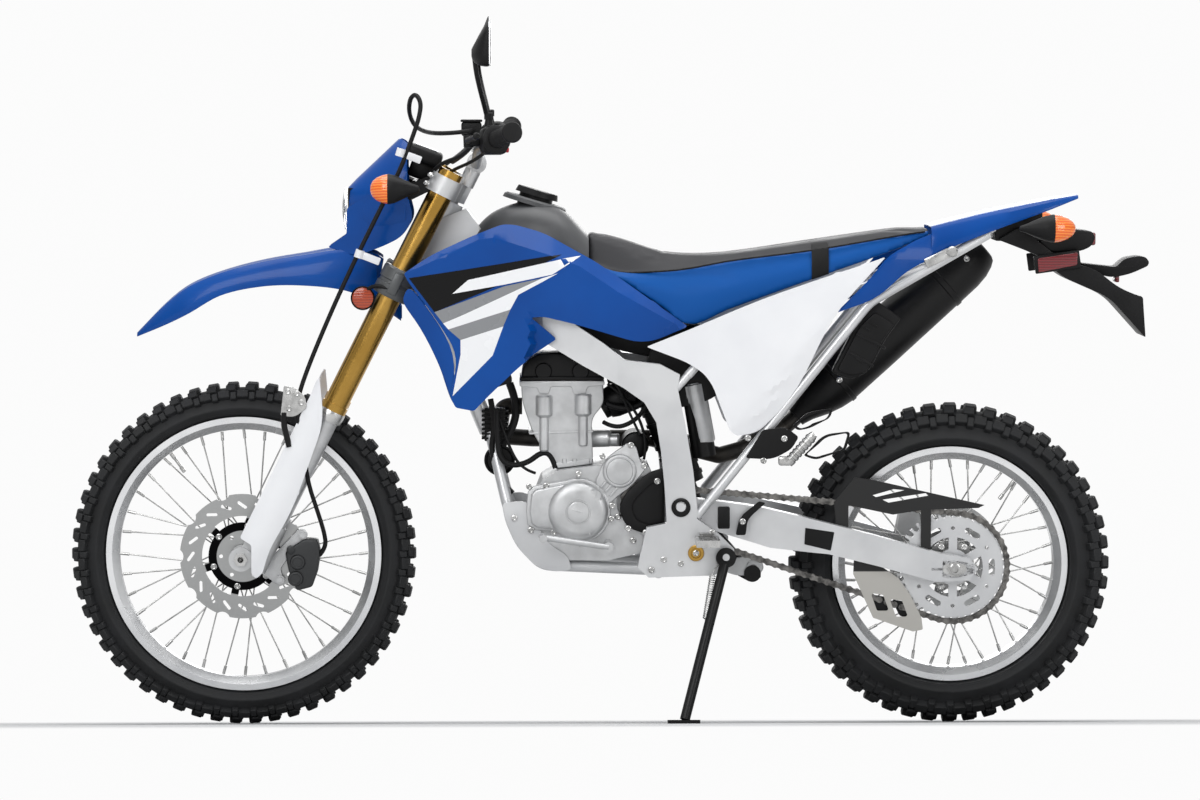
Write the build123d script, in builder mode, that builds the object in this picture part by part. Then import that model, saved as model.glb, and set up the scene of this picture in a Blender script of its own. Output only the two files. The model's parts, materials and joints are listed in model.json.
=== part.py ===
"""A 250 cc dual sport motorcycle, parked on its side stand.

It is drawn upright: X runs from the front wheel to the rear wheel, -Y is the rider's left and Z is up,
with X = 0 midway between the axles at the usual wheelbase and Z = 0 at the ground. park() then leans each piece onto the stand.
All sizes are in millimetres and degrees.
"""

import math
import os

from build123d import *

os.makedirs("parts", exist_ok=True)

# ---------------------------------------------------------------- driving dimensions
WHEELBASE = 1420.0
LEAN = 8.0                      # how far it leans to the left on its stand
RAKE = 26.67                    # steering axis from the vertical
TRAIL = 112.0
CLAMP_OFFSET = 25.0             # fork tubes ahead of the steering axis
SEAM = 0.3                      # gap between pieces that seat on each other
RUNNING = 0.08                  # radial clearance of a shaft in its bearing

FRONT_TYRE_R, FRONT_TYRE_W = 346.7, 82.0
REAR_TYRE_R, REAR_TYRE_W = 324.6, 120.0
FRONT_RIM_R, FRONT_RIM_W = 276.0, 44.0
REAR_RIM_R, REAR_RIM_W = 237.0, 62.0
RIM_DEPTH = 26.0
SPOKES = 36
SPOKE_R, NIPPLE_R, NIPPLE_L = 1.5, 3.0, 18.0
SPOKE_SWEEP = 60.0              # how far a spoke turns round the hub on its way to the rim
AXLE_R, AXLE_BORE_R = 10.0, 6.0

FORK_SPREAD = 100.0             # each fork tube from the centre plane
FORK_OUTER_R, FORK_INNER_R = 24.5, 21.5
DISC_Y = 63.0                   # centre of the front disc from the centre plane
FRONT_DISC_R, REAR_DISC_R, DISC_T = 125.0, 115.0, 4.0
REAR_DISC_Y = 72.0

CHAIN_Y = 86.0                  # chain line, left of the centre plane
CHAIN_PITCH = 15.875
REAR_TEETH, FRONT_TEETH = 43, 13
SPROCKET_T = 6.0
COUNTERSHAFT = (84.0, 457.0)
PIVOT = (164.0, 452.0)          # swingarm pivot
ARM_OUT, ARM_IN = 126.0, 98.0   # swingarm arms at the wheel, outer and inner faces
PLATE_IN, PLATE_OUT = 112.0, 136.0   # frame side plates at the pivot

BAR_R, GRIP_R = 11.0, 16.0
BAR_HALF = 405.0
PEG_Z = 345.0
PANEL = 3.0                     # moulded plastic wall

STAND_PIVOT = (253.0, -150.0, 350.0)
STAND_FOLDED = (568.0, -158.0, 492.0)
STAND_FOOT_Y = -268.0
STAND_R = 10.0

# ---------------------------------------------------------------- worked out from them
FRONT_AXLE_X = -710.0
REAR_AXLE_X = FRONT_AXLE_X + WHEELBASE
STRETCH = REAR_AXLE_X - 710.0   # how far the rear axle is from its usual place
rake = math.radians(RAKE)
lean = math.radians(LEAN)
STEER_FOOT = Vector(FRONT_AXLE_X - TRAIL, 0, 0)  # where the steering axis meets the ground
STEER_UP = Vector(math.sin(rake), 0, math.cos(rake))
STEER_BACK = Vector(math.cos(rake), 0, -math.sin(rake))
FRONT_AXLE = Vector(FRONT_AXLE_X, 0, FRONT_TYRE_R)
REAR_AXLE = Vector(REAR_AXLE_X, 0, REAR_TYRE_R)
REAR_PITCH_R = CHAIN_PITCH / (2 * math.sin(math.pi / REAR_TEETH))
FRONT_PITCH_R = CHAIN_PITCH / (2 * math.sin(math.pi / FRONT_TEETH))


def on_steering(back, across, up):
    """A point by its place behind the steering axis, across it, and up along it from the ground."""
    return STEER_FOOT + STEER_BACK * back + Vector(0, across, 0) + STEER_UP * up


def steering_plane(up, across=0.0, back=0.0):
    """A plane square to the steering axis: local x points back, local y to the right."""
    return Plane(origin=on_steering(back, across, up), x_dir=STEER_BACK, z_dir=STEER_UP)


def left(distance):
    """The side plane that far left of the centre plane: local x is X, local y is Z, normal to the left."""
    return Plane.XZ.offset(distance)


def axis_at(point, across):
    """A plane square to a wheel's axle, that far left of the centre plane."""
    return Plane(origin=(point.X, -across, point.Z), x_dir=(1, 0, 0), z_dir=(0, -1, 0))


def with_axle(points):
    """An X-Z or X-Y outline whose points move back with the rear axle."""
    return [(x + STRETCH, other) for x, other in points]


def rod(start, end, radius):
    """Adds a round bar between two points to the current part."""
    start, end = Vector(*start), Vector(*end)
    with BuildSketch(Plane(origin=start, z_dir=end - start)) as section:
        Circle(radius)
    extrude(section.sketch, amount=(end - start).length, dir=end - start)


def tube(points, bends, radius, bore=0.0, mode=Mode.ADD):
    """Adds a bent tube: straight runs through the points, joined by arcs with the given radii."""
    with BuildLine() as path:
        FilletPolyline(*points, radius=bends)
    with BuildSketch(Plane(origin=path.line @ 0, z_dir=path.line % 0)) as section:
        Circle(radius)
        if bore:
            Circle(bore, mode=Mode.SUBTRACT)
    sweep(section.sketch, path=path.line, mode=mode)


def outline(points, corner=0.0):
    """Adds a closed outline to the current sketch, with its corners rounded."""
    with BuildLine() as edge:
        Polyline(*points, close=True)
        if corner:
            fillet(edge.vertices(), corner)
    make_face(edge.edges())


def side_slab(points, near, far, corner=0.0, mode=Mode.ADD):
    """Adds a slab with an X-Z outline, from near to far left of the centre plane."""
    with BuildSketch(left(near)) as section:
        outline(points, corner)
    extrude(section.sketch, amount=far - near, dir=(0, -1, 0), mode=mode)


def plan_cut(points, low, high, mode=Mode.INTERSECT):
    """Keeps, or takes away, what lies inside an X-Y outline between two heights."""
    with BuildSketch(Plane.XY.offset(low)) as section:
        outline(points)
    extrude(section.sketch, amount=high - low, dir=(0, 0, 1), mode=mode)


def mirrored_plan(half):
    """A closed X-Y outline from its left half, given as (x, distance from the centre plane)."""
    return [(x, -y) for x, y in half] + [(x, y) for x, y in reversed(half)]


# ================================================================ wheels
def tyre_ring(axle, radius, width, rim_radius, rim_width):
    """A tyre from bead to crown; the crown's arc passes through the tops of the tread blocks."""
    half, bead = width / 2, rim_width / 2 - 5.5 - SEAM
    shoulder = radius - 0.4 * width
    seat = rim_radius - 8 + SEAM
    with BuildPart() as ring:
        with BuildSketch(Plane.XY) as section:
            with BuildLine():
                Polyline((-bead, rim_radius + 1), (-bead, seat), (bead, seat), (bead, rim_radius + 1))
                ThreePointArc((bead, rim_radius + 1), (half - 3, rim_radius + 16), (half, shoulder))
                ThreePointArc((half, shoulder), (0, radius), (-half, shoulder))
                ThreePointArc((-half, shoulder), (-half + 3, rim_radius + 16), (-bead, rim_radius + 1))
            make_face()
        revolve(section.sketch, axis=Axis.X)
    return Location(Plane(origin=axle, x_dir=(0, 1, 0), z_dir=(0, 0, 1))) * ring.part


def rim_ring(axle, radius, width):
    """A drop-centre rim: two flanges, two bead seats and a well."""
    half, inner = width / 2, radius - RIM_DEPTH
    with BuildPart() as ring:
        with BuildSketch(Plane.XY) as section:
            with BuildLine():
                Polyline(
                    (-half, radius), (-half + 4, radius), (-half + 5, radius - 8), (-half + 13, radius - 14),
                    (half - 13, radius - 14), (half - 5, radius - 8), (half - 4, radius), (half, radius),
                    (half, radius - 12), (half - 11, inner), (-half + 11, inner), (-half, radius - 12), close=True,
                )
            make_face()
        revolve(section.sketch, axis=Axis.X)
    return Location(Plane(origin=axle, x_dir=(0, 1, 0), z_dir=(0, 0, 1))) * ring.part


def wire_hub(axle, rim_radius, left_end, right_end, barrel, flange):
    """A hub with two flanges and its wire spokes, which end just short of the rim."""
    flange_y, hole_r = 28.0, flange - 5.0
    tip = rim_radius - RIM_DEPTH - 1.3
    with BuildPart() as hub:
        with BuildSketch(axis_at(axle, -right_end)):
            Circle(barrel)
        extrude(amount=right_end + left_end)
        for side in (-1, 1):
            with BuildSketch(axis_at(axle, side * flange_y - 5)):
                Circle(flange)
            extrude(amount=10)
        for spoke in range(SPOKES):
            side = 1 if spoke % 2 else -1
            sweep_sign = 1 if (spoke // 2) % 2 else -1
            at_rim = math.radians(spoke * 360 / SPOKES)
            at_hub = at_rim + sweep_sign * math.radians(SPOKE_SWEEP)
            hub_y = side * (flange_y + 3 * sweep_sign)
            start = axle + Vector(hole_r * math.cos(at_hub), hub_y, hole_r * math.sin(at_hub))
            end = axle + Vector(tip * math.cos(at_rim), side * 5, tip * math.sin(at_rim))
            nipple = end + (start - end).normalized() * NIPPLE_L
            rod(start, nipple, SPOKE_R)
            rod(nipple, end, NIPPLE_R)
        with BuildSketch(axis_at(axle, -right_end)):
            Circle(AXLE_R + RUNNING)
        extrude(amount=right_end + left_end, mode=Mode.SUBTRACT)
    return hub.part


def wave_disc(axle, across, radius, bore, mount_r):
    """A wave brake disc with slots, on a carrier ring bolted to the hub."""
    with BuildPart() as disc:
        with BuildSketch(axis_at(axle, across - DISC_T / 2)):
            Circle(radius)
            with PolarLocations(radius + 9, 10):
                Circle(16, mode=Mode.SUBTRACT)
            with PolarLocations(radius - 22, 20):
                SlotOverall(22, 6, rotation=55, mode=Mode.SUBTRACT)
            Circle(radius - 44, mode=Mode.SUBTRACT)
            with PolarLocations((radius - 44 + mount_r) / 2, 6, start_angle=18):
                Rectangle(radius - 44 - mount_r + 12, 15)
            Circle(mount_r)
            Circle(bore, mode=Mode.SUBTRACT)
            with PolarLocations((bore + mount_r) / 2, 6):
                Circle(4, mode=Mode.SUBTRACT)
        extrude(amount=DISC_T)
    return disc.part


def chain_loop(spare, near, far):
    """The band that the chain runs in, grown by some spare room, between two distances left of the centre plane."""
    with BuildPart() as loop:
        for grow, mode in ((7.5 + spare, Mode.ADD), (-7.5 - spare, Mode.SUBTRACT)):
            with BuildSketch(left(near)):
                with Locations((REAR_AXLE_X, REAR_TYRE_R)):
                    Circle(REAR_PITCH_R + grow)
                with Locations(COUNTERSHAFT):
                    Circle(FRONT_PITCH_R + grow)
                make_hull()
            extrude(amount=far - near, mode=mode)
    return loop.part


front_tyre = tyre_ring(FRONT_AXLE, FRONT_TYRE_R, FRONT_TYRE_W, FRONT_RIM_R, FRONT_RIM_W)
front_rim = rim_ring(FRONT_AXLE, FRONT_RIM_R, FRONT_RIM_W)
front_hub = wire_hub(FRONT_AXLE, FRONT_RIM_R, DISC_Y - DISC_T / 2 - SEAM, 55.0, 22.0, 33.0)
front_disc = wave_disc(FRONT_AXLE, DISC_Y, FRONT_DISC_R, AXLE_R + 8, 68.0)

rear_tyre = tyre_ring(REAR_AXLE, REAR_TYRE_R, REAR_TYRE_W, REAR_RIM_R, REAR_RIM_W)
rear_rim = rim_ring(REAR_AXLE, REAR_RIM_R, REAR_RIM_W)
rear_hub = wire_hub(
    REAR_AXLE, REAR_RIM_R, CHAIN_Y - SPROCKET_T / 2 - SEAM, REAR_DISC_Y - DISC_T / 2 - SEAM, 30.0, 48.0)
rear_disc = wave_disc(REAR_AXLE, -REAR_DISC_Y, REAR_DISC_R, AXLE_R + 8, 58.0)

TOOTH_DEPTH = 5.0
with BuildPart() as rear_sprocket:
    with BuildSketch(axis_at(REAR_AXLE, CHAIN_Y - SPROCKET_T / 2)):
        Circle(REAR_PITCH_R + TOOTH_DEPTH - 1)
        with PolarLocations(REAR_PITCH_R, REAR_TEETH):
            SlotCenterToCenter(6, 10.3, mode=Mode.SUBTRACT)
        with PolarLocations(78, 6):
            SlotOverall(34, 12, rotation=90, mode=Mode.SUBTRACT)
        with PolarLocations(78, 6, start_angle=30):
            Circle(4, mode=Mode.SUBTRACT)
        Circle(60, mode=Mode.SUBTRACT)
        with PolarLocations(42, 6, start_angle=30):
            Rectangle(50, 17)
        Circle(AXLE_R + 26)
        Circle(AXLE_R + 8, mode=Mode.SUBTRACT)
    extrude(amount=SPROCKET_T)

# ================================================================ steering assembly
FORK_AT = -CLAMP_OFFSET         # the tubes' place behind the steering axis
GOLD_LOW, GOLD_HIGH = 712.0, 1236.0
LOWER_CLAMP = (962.0, 1018.0)
UPPER_CLAMP = (1185.0, 1222.0)
CLAMP_RING = 8.0                # the clamps' wall round each fork tube
AXLE_UP = (FRONT_AXLE - STEER_FOOT).dot(STEER_UP)
AXLE_BACK = (FRONT_AXLE - STEER_FOOT).dot(STEER_BACK)
CASTING_TOP = 452.0

with BuildPart() as fork_tubes:
    for side in (-1, 1):
        with BuildSketch(steering_plane(GOLD_LOW, side * FORK_SPREAD, FORK_AT)):
            Circle(FORK_OUTER_R)
            Circle(FORK_INNER_R + 0.5, mode=Mode.SUBTRACT)
        extrude(amount=GOLD_HIGH - GOLD_LOW)
        with BuildSketch(steering_plane(GOLD_HIGH - 6, side * FORK_SPREAD, FORK_AT)):
            Circle(FORK_OUTER_R)
        extrude(amount=6)
        with BuildSketch(steering_plane(GOLD_LOW - 22, side * FORK_SPREAD, FORK_AT)):
            Circle(FORK_OUTER_R + 2.5)
            Circle(FORK_INNER_R + 0.5, mode=Mode.SUBTRACT)
        extrude(amount=30)

with BuildPart() as fork_lowers:
    for side in (-1, 1):
        with BuildSketch(steering_plane(CASTING_TOP - 40, side * FORK_SPREAD, FORK_AT)):
            Circle(FORK_INNER_R)
        extrude(amount=GOLD_LOW + 90 - CASTING_TOP)
        with BuildSketch(steering_plane(AXLE_UP - 6, side * FORK_SPREAD, FORK_AT)):
            Circle(FORK_INNER_R + 4)
        extrude(amount=CASTING_TOP - AXLE_UP + 6)
        with BuildSketch(axis_at(FRONT_AXLE, side * FORK_SPREAD - 27)):
            Circle(24)
        extrude(amount=54)
        with BuildSketch(steering_plane(AXLE_UP, side * FORK_SPREAD, (AXLE_BACK + FORK_AT) / 2)):
            Rectangle(AXLE_BACK * -1 + FORK_AT + 18, 40)
        extrude(amount=52, both=False)
    with BuildSketch(axis_at(FRONT_AXLE, -160)):
        Circle(AXLE_R + SEAM)
    extrude(amount=320, mode=Mode.SUBTRACT)

with BuildPart() as front_axle:
    with BuildSketch(axis_at(FRONT_AXLE, -FORK_SPREAD - 34)):
        Circle(AXLE_R)
    extrude(amount=2 * (FORK_SPREAD + 34))
    with BuildSketch(axis_at(FRONT_AXLE, FORK_SPREAD + 27 + SEAM)):
        RegularPolygon(14, 6)
    extrude(amount=7)
    for start, end in ((DISC_Y + 6, FORK_SPREAD - 27 - SEAM), (-FORK_SPREAD + 27 + SEAM, -56)):
        with BuildSketch(axis_at(FRONT_AXLE, start)):
            Circle(AXLE_R + 5)
        extrude(amount=end - start)
    with BuildSketch(axis_at(FRONT_AXLE, -160)):
        Circle(AXLE_BORE_R)
    extrude(amount=320, mode=Mode.SUBTRACT)

GUARD_GAP = 10.0                # room for the brake hose between fork and guard
GUARD_Y = FORK_SPREAD + FORK_OUTER_R + 2.5 + GUARD_GAP
GUARD_FRONT = [(-569, 676), (-711, 391), (-688, 377), (-688, 318), (-677, 309), (-660, 320), (-641, 366),
               (-597, 448), (-543, 622), (-552, 711), (-560, 700)]
with BuildPart() as fork_guards:
    side_slab(GUARD_FRONT, GUARD_Y, GUARD_Y + 3)
    for up in (CASTING_TOP - 92, CASTING_TOP - 12):
        rod(on_steering(FORK_AT, -FORK_SPREAD - FORK_INNER_R - 4 - SEAM, up),
            on_steering(FORK_AT, -GUARD_Y - 1, up), 6)
    mirror(about=Plane.XZ)

with BuildPart() as triple_clamps:
    for low, high, ring in ((*LOWER_CLAMP, CLAMP_RING + 1), (*UPPER_CLAMP, CLAMP_RING)):
        with BuildSketch(steering_plane(low)) as clamp:
            with Locations((FORK_AT, -FORK_SPREAD), (FORK_AT, FORK_SPREAD)):
                Circle(FORK_OUTER_R + ring)
            with BuildLine():
                Polyline((-44, -FORK_SPREAD), (16, -38), (26, 0), (16, 38), (-44, FORK_SPREAD), (-34, 0), close=True)
            make_face()
            with Locations((FORK_AT, -FORK_SPREAD), (FORK_AT, FORK_SPREAD)):
                Circle(FORK_OUTER_R + SEAM, mode=Mode.SUBTRACT)
        extrude(amount=high - low)
    with BuildSketch(steering_plane(LOWER_CLAMP[0])):
        Circle(15)
    extrude(amount=UPPER_CLAMP[1] - LOWER_CLAMP[0] + 16)
    for side in (-1, 1):
        with BuildSketch(steering_plane(UPPER_CLAMP[1], side * 45, 12)):
            Circle(16)
        extrude(amount=34)

BAR_CENTRE = on_steering(12, 0, UPPER_CLAMP[1] + 34 + BAR_R + 4)
BAR_TURN = Vector(BAR_CENTRE.X + 6, 0, BAR_CENTRE.Z + 34)
GRIP_END = Vector(-170, 0, 1198)
GRIP_SHARE = 0.47               # the share of the straight run that the grip covers
bar_points = [
    Vector(GRIP_END.X, -BAR_HALF, GRIP_END.Z), Vector(BAR_TURN.X, -180, BAR_TURN.Z),
    Vector(BAR_CENTRE.X, -85, BAR_CENTRE.Z), Vector(BAR_CENTRE.X, 85, BAR_CENTRE.Z),
    Vector(BAR_TURN.X, 180, BAR_TURN.Z), Vector(GRIP_END.X, BAR_HALF, GRIP_END.Z)]
with BuildPart() as handlebar:
    tube(bar_points, 70, BAR_R)
    for side in (-1, 1):
        with BuildSketch(Plane(origin=(BAR_CENTRE.X, side * 45 - 16, BAR_CENTRE.Z), z_dir=(0, 1, 0))):
            Circle(BAR_R + 9)
        extrude(amount=32)
    with BuildSketch(steering_plane(UPPER_CLAMP[1])):
        Rectangle(200, 200)
    extrude(amount=34 + SEAM, mode=Mode.SUBTRACT)


def along_grip(side, share):
    """A point on a grip's centreline: share 0 at its inner end and 1 at its outer end."""
    outer = Vector(GRIP_END.X, side * BAR_HALF, GRIP_END.Z)
    turn = Vector(BAR_TURN.X, side * 180, BAR_TURN.Z)
    return turn + (outer - turn) * (1 - GRIP_SHARE + share * GRIP_SHARE)


RESERVOIR = along_grip(1, -0.49) + Vector(-38, 0, 6)     # foot of the front brake's fluid reservoir

with BuildPart() as grips:
    for side in (-1, 1):
        inner, outer = along_grip(side, 0), along_grip(side, 1.04)
        grip_plane = Plane(origin=inner, z_dir=outer - inner)
        with BuildSketch(grip_plane):
            Circle(27)
            Circle(BAR_R + SEAM, mode=Mode.SUBTRACT)
        extrude(amount=5)
        with BuildSketch(grip_plane):
            Circle(GRIP_R)
            Circle(BAR_R + SEAM, mode=Mode.SUBTRACT)
        extrude(amount=(along_grip(side, 1.0) - inner).length + SEAM)
        with BuildSketch(grip_plane.offset((along_grip(side, 1.0) - inner).length + SEAM)):
            Circle(GRIP_R)
        extrude(amount=4)

with BuildPart() as hand_controls:
    for side in (-1, 1):
        middle = along_grip(side, -0.16)
        direction = along_grip(side, 0) - along_grip(side, 1)
        inboard = along_grip(side, -0.04)
        plane = Plane(origin=inboard, x_dir=(1, 0, 0), z_dir=direction)
        with BuildSketch(plane):
            RectangleRounded(46, 50, 9)
            Circle(BAR_R + SEAM, mode=Mode.SUBTRACT)
        extrude(amount=34)
        with BuildSketch(plane.offset(38)):
            Circle(BAR_R + 7)
            with Locations((-26, 0)):
                Rectangle(34, 20)
            Circle(BAR_R + SEAM, mode=Mode.SUBTRACT)
        extrude(amount=24)
        pivot = plane.offset(50).from_local_coords((-42, 0))
        tip = along_grip(side, 0.9) + Vector(-78, 0, -6)
        knee = along_grip(side, 0.1) + Vector(-70, 0, -4)
        rod(pivot, knee, 6)
        rod(knee, tip, 5)
        with BuildSketch(Plane(origin=pivot + Vector(0, 0, -12))):
            Circle(10)
        extrude(amount=24)
    with BuildSketch(Plane(origin=RESERVOIR)):
        RectangleRounded(40, 34, 6)
    extrude(amount=30)

with BuildPart() as mirrors:
    for side in (-1, 1):
        along = (along_grip(side, 1) - along_grip(side, 0)).normalized()
        upward = (Vector(0, 0, 1) - along * along.Z).normalized()
        base = along_grip(side, -0.49) + upward * (BAR_R + 7 + SEAM)
        rod(base, base + upward * 22, 7)
        neck = Vector(-232, side * 290, 1262)
        rod(base + upward * 18, neck, 4.5)
        rod(neck, Vector(-236, side * 322, 1340), 4.5)
        with BuildSketch(Plane(origin=(-222, side * 345, 1370), x_dir=(0, 1, 0), z_dir=(-1, 0, 0))) as glass:
            with Locations((side * 0, 4)):
                RectangleRounded(124, 104, 30)
        extrude(amount=7)
        with BuildSketch(Plane(origin=(-229, side * 345, 1370), x_dir=(0, 1, 0), z_dir=(-1, 0, 0))) as back:
            RectangleRounded(110, 90, 26)
        extrude(amount=20, taper=28)

# ---------------------------------------------------------------- front bodywork
COWL_SIDE = [(-393, 1180), (-503, 1076), (-499, 1045), (-497, 985), (-440, 974), (-398, 990), (-372, 1040),
             (-372, 1120)]
COWL_Y = FORK_SPREAD - 2        # half width of the cowl beside the lamp bracket
COWL_PLAN = [(-520, 30), (-470, COWL_Y - 20), (-390, COWL_Y), (-360, COWL_Y)]
with BuildPart() as headlight_cowl:
    side_slab(COWL_SIDE, -110, 110)
    plan_cut(mirrored_plan(COWL_PLAN), 900, 1250)
    with BuildSketch(left(-110)):
        outline([(-384, 1180), (-497, 1073), (-492, 990), (-430, 980), (-300, 980), (-300, 1180)])
    cavity = extrude(amount=220, mode=Mode.PRIVATE)
    with BuildSketch(Plane.XY.offset(900)):
        outline(mirrored_plan([(-514, 28), (-467, COWL_Y - 23), (-389, COWL_Y - 3), (-300, COWL_Y - 3)]))
    cavity_plan = extrude(amount=350, mode=Mode.PRIVATE)
    add(cavity & cavity_plan, mode=Mode.SUBTRACT)
    with BuildSketch(Plane(origin=(-600, 0, 1040), x_dir=(0, -1, 0), z_dir=(1, 0, 0))):
        Trapezoid(112, 84, 78)
    extrude(amount=140, mode=Mode.SUBTRACT)

with BuildPart() as headlight:
    with BuildSketch(Plane(origin=(-497, 0, 1040), x_dir=(0, -1, 0), z_dir=(1, 0, 0))):
        Trapezoid(111.2, 83.2, 78)
    extrude(amount=46)
    with BuildSketch(Plane(origin=(-451, 0, 1040), x_dir=(0, -1, 0), z_dir=(1, 0, 0))):
        Circle(38)
    extrude(amount=51 - SEAM, taper=12)

# the lamp and the meter hang on a bracket bolted to the fork tubes' upper clamp
BRACKET_Y = FORK_SPREAD - 28
CLAMP_FACE = FORK_AT - math.sqrt((FORK_OUTER_R + CLAMP_RING) ** 2 - 26 ** 2)   # front of the upper clamp there
with BuildPart() as lamp_bracket:
    clamp_face = [on_steering(CLAMP_FACE - SEAM, 0, up) for up in (1219.7, 1183.7)]
    for side in (-1, 1):
        side_slab([(-403, 1060), (-390, 1084), (-330, 1108), *((p.X, p.Z) for p in clamp_face), (-392, 1048)],
                  side * BRACKET_Y - 2, side * BRACKET_Y + 2)
    with BuildSketch(Plane(origin=(-396, 0, 1062), x_dir=(0, 1, 0), z_dir=(-1, 0, 0))):
        Rectangle(2 * BRACKET_Y, 22)
    extrude(amount=4)
    rod((-366.1, -BRACKET_Y - 1, 1090.1), (-366.1, BRACKET_Y + 1, 1090.1), 6)

with BuildPart() as instrument_panel:
    meter_plane = Plane(origin=(-352, 0, 1128), x_dir=(0, 1, 0), z_dir=(0.35, 0, 0.94))
    with BuildSketch(meter_plane):
        RectangleRounded(118, 74, 16)
    extrude(amount=26, taper=6)
    with BuildSketch(meter_plane.offset(-34)):
        Rectangle(60, 30)
    extrude(amount=34)

LAMP_Y = FORK_SPREAD + 72       # the indicators stand clear of the fork and its hose
with BuildPart() as front_indicators:
    for side in (-1, 1):
        with BuildSketch(Plane(origin=(-349, side * LAMP_Y, 1087), z_dir=(-1, 0, -0.04))):
            Circle(5)
        with BuildSketch(Plane(origin=(-415, side * LAMP_Y, 1084), z_dir=(-1, 0, -0.04))):
            Ellipse(30, 25)
        loft()
        with BuildSketch(Plane(origin=(-415, side * LAMP_Y, 1084), z_dir=(-1, 0, -0.04))):
            Ellipse(30, 25)
        with BuildSketch(Plane(origin=(-448, side * LAMP_Y, 1083), z_dir=(-1, 0, -0.04))):
            Ellipse(16, 13)
        loft()
        rod((-378, side * (LAMP_Y - 12), 1085), (-378, side * (COWL_Y + SEAM), 1085), 7)

# columns: X, top, edge, half width
FENDER_STATIONS = [
    (-921, 792, 784, 22), (-860, 853, 810, 48), (-815, 889, 832, 58), (-751, 914, 872, 62),
    (-669, 936, 889, 65), (-587, 950, 888, 66), (-500, 964, 877, 62), (-440, 955, 850, 50), (-392, 910, 816, 38)]


def fender_shell(stations, wall, crown=0.6):
    """Adds a mudguard that is open below: a roofed section lofted along X, hollowed by its wall."""
    for inset, mode in ((0.0, Mode.ADD), (wall, Mode.SUBTRACT)):
        sections = []
        for x, top, edge, half in stations:
            with BuildSketch(Plane(origin=(x, 0, 0), x_dir=(0, -1, 0), z_dir=(-1, 0, 0))) as section:
                with BuildLine():
                    Polyline((-half + inset, edge - inset * 3), (half - inset, edge - inset * 3),
                             (crown * half - inset, top - inset), (-crown * half + inset, top - inset), close=True)
                make_face()
            sections.append(section.sketch)
        loft(sections, ruled=True, mode=mode)


with BuildPart() as front_fender:
    fender_shell(FENDER_STATIONS, PANEL)
    with BuildSketch(steering_plane(LOWER_CLAMP[0] - SEAM)):
        with Locations((0, 0)):
            Rectangle(124, 300)
    extrude(amount=160, mode=Mode.SUBTRACT)

with BuildPart() as front_caliper:
    with BuildSketch(axis_at(Vector(-592, 0, 345), DISC_Y - 22)):
        with BuildLine():
            Polyline((-34, -58), (20, -62), (34, -10), (26, 44), (-16, 52), (-30, 10), close=True)

        make_face()
    extrude(amount=46)
    with BuildSketch(axis_at(FRONT_AXLE, DISC_Y - DISC_T / 2 - 5)):
        Circle(FRONT_DISC_R + 6)
    extrude(amount=DISC_T + 10, mode=Mode.SUBTRACT)
    side_slab([(-672, 344), (-658, 402), (-590, 402), (-600, 380), (-630, 320)], DISC_Y + 7.5,
              FORK_SPREAD - FORK_INNER_R - 4 - SEAM)

HOSE_OUT = GUARD_Y - 3
HOSE_POINTS = [
    RESERVOIR + Vector(0, -18, 13), RESERVOIR + Vector(-4, -55, 13), (-330, 120, 1180), (-378, 20, 1195),
    (-372, -70, 1236), (-352, 16 - HOSE_OUT, 1254), (-360, -HOSE_OUT, 1200), (-590, -HOSE_OUT, 690),
    (-600, 2.5 - HOSE_OUT, 640), (-572, 2.5 - HOSE_OUT, 560), (-560, -FORK_SPREAD - 10, 470),
    (-580, -DISC_Y - 15, 430), (-580, -DISC_Y - 15, 393)]
with BuildPart() as front_brake_hose:
    tube(HOSE_POINTS, 12, 4.5)

# ---------------------------------------------------------------- the side stand's swing
stand_pivot = Vector(*STAND_PIVOT)
folded = Vector(*STAND_FOLDED) - stand_pivot
ground_z = -STAND_FOOT_Y * math.tan(lean) - 0.5     # the leaned tyres reach half a millimetre below zero
stand_drop = ground_z - stand_pivot.Z
stand_out = STAND_FOOT_Y - stand_pivot.Y
stand_ahead = math.sqrt(folded.length**2 - stand_drop**2 - stand_out**2)
stand_foot = stand_pivot + Vector(-stand_ahead, stand_out, stand_drop)
down = stand_foot - stand_pivot
STAND_AXIS = (down - folded).cross(Vector(1, 0, 0)).normalized()
flat_down = down - STAND_AXIS * down.dot(STAND_AXIS)
flat_folded = folded - STAND_AXIS * folded.dot(STAND_AXIS)
STAND_SWING = flat_down.get_angle(flat_folded)
GROUND_UP = Vector(0, math.sin(lean), math.cos(lean))

# ================================================================ frame and engine
DOWN_TUBE = (Vector(-329, 0, 855), Vector(-218, 0, 592))
DOWN_TUBE_R = 19.0
HEAD_LOW, HEAD_HIGH = LOWER_CLAMP[1] + 5, UPPER_CLAMP[0] - 5
SPAR_SIDE = [(-340, 1010), (-262, 1040), (-180, 930), (-44, 812), (12, 775), (53, 743), (122, 735), (162, 714),
             (157, 688), (172, 619), (188, 526), (198, 437), (192, 412), (137, 389), (135, 437), (131, 498),
             (125, 558), (115, 619), (91, 659), (50, 688), (-31, 732), (-110, 780), (-290, 900), (-366, 940)]
SPAR_PLAN = [(-420, 20), (-236, 40), (-110, PLATE_OUT - 18), (40, PLATE_OUT), (240, PLATE_OUT)]
SPAR_INNER = [(240, PLATE_IN), (40, PLATE_IN), (-110, 92), (-236, 16), (-420, 0)]

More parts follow.
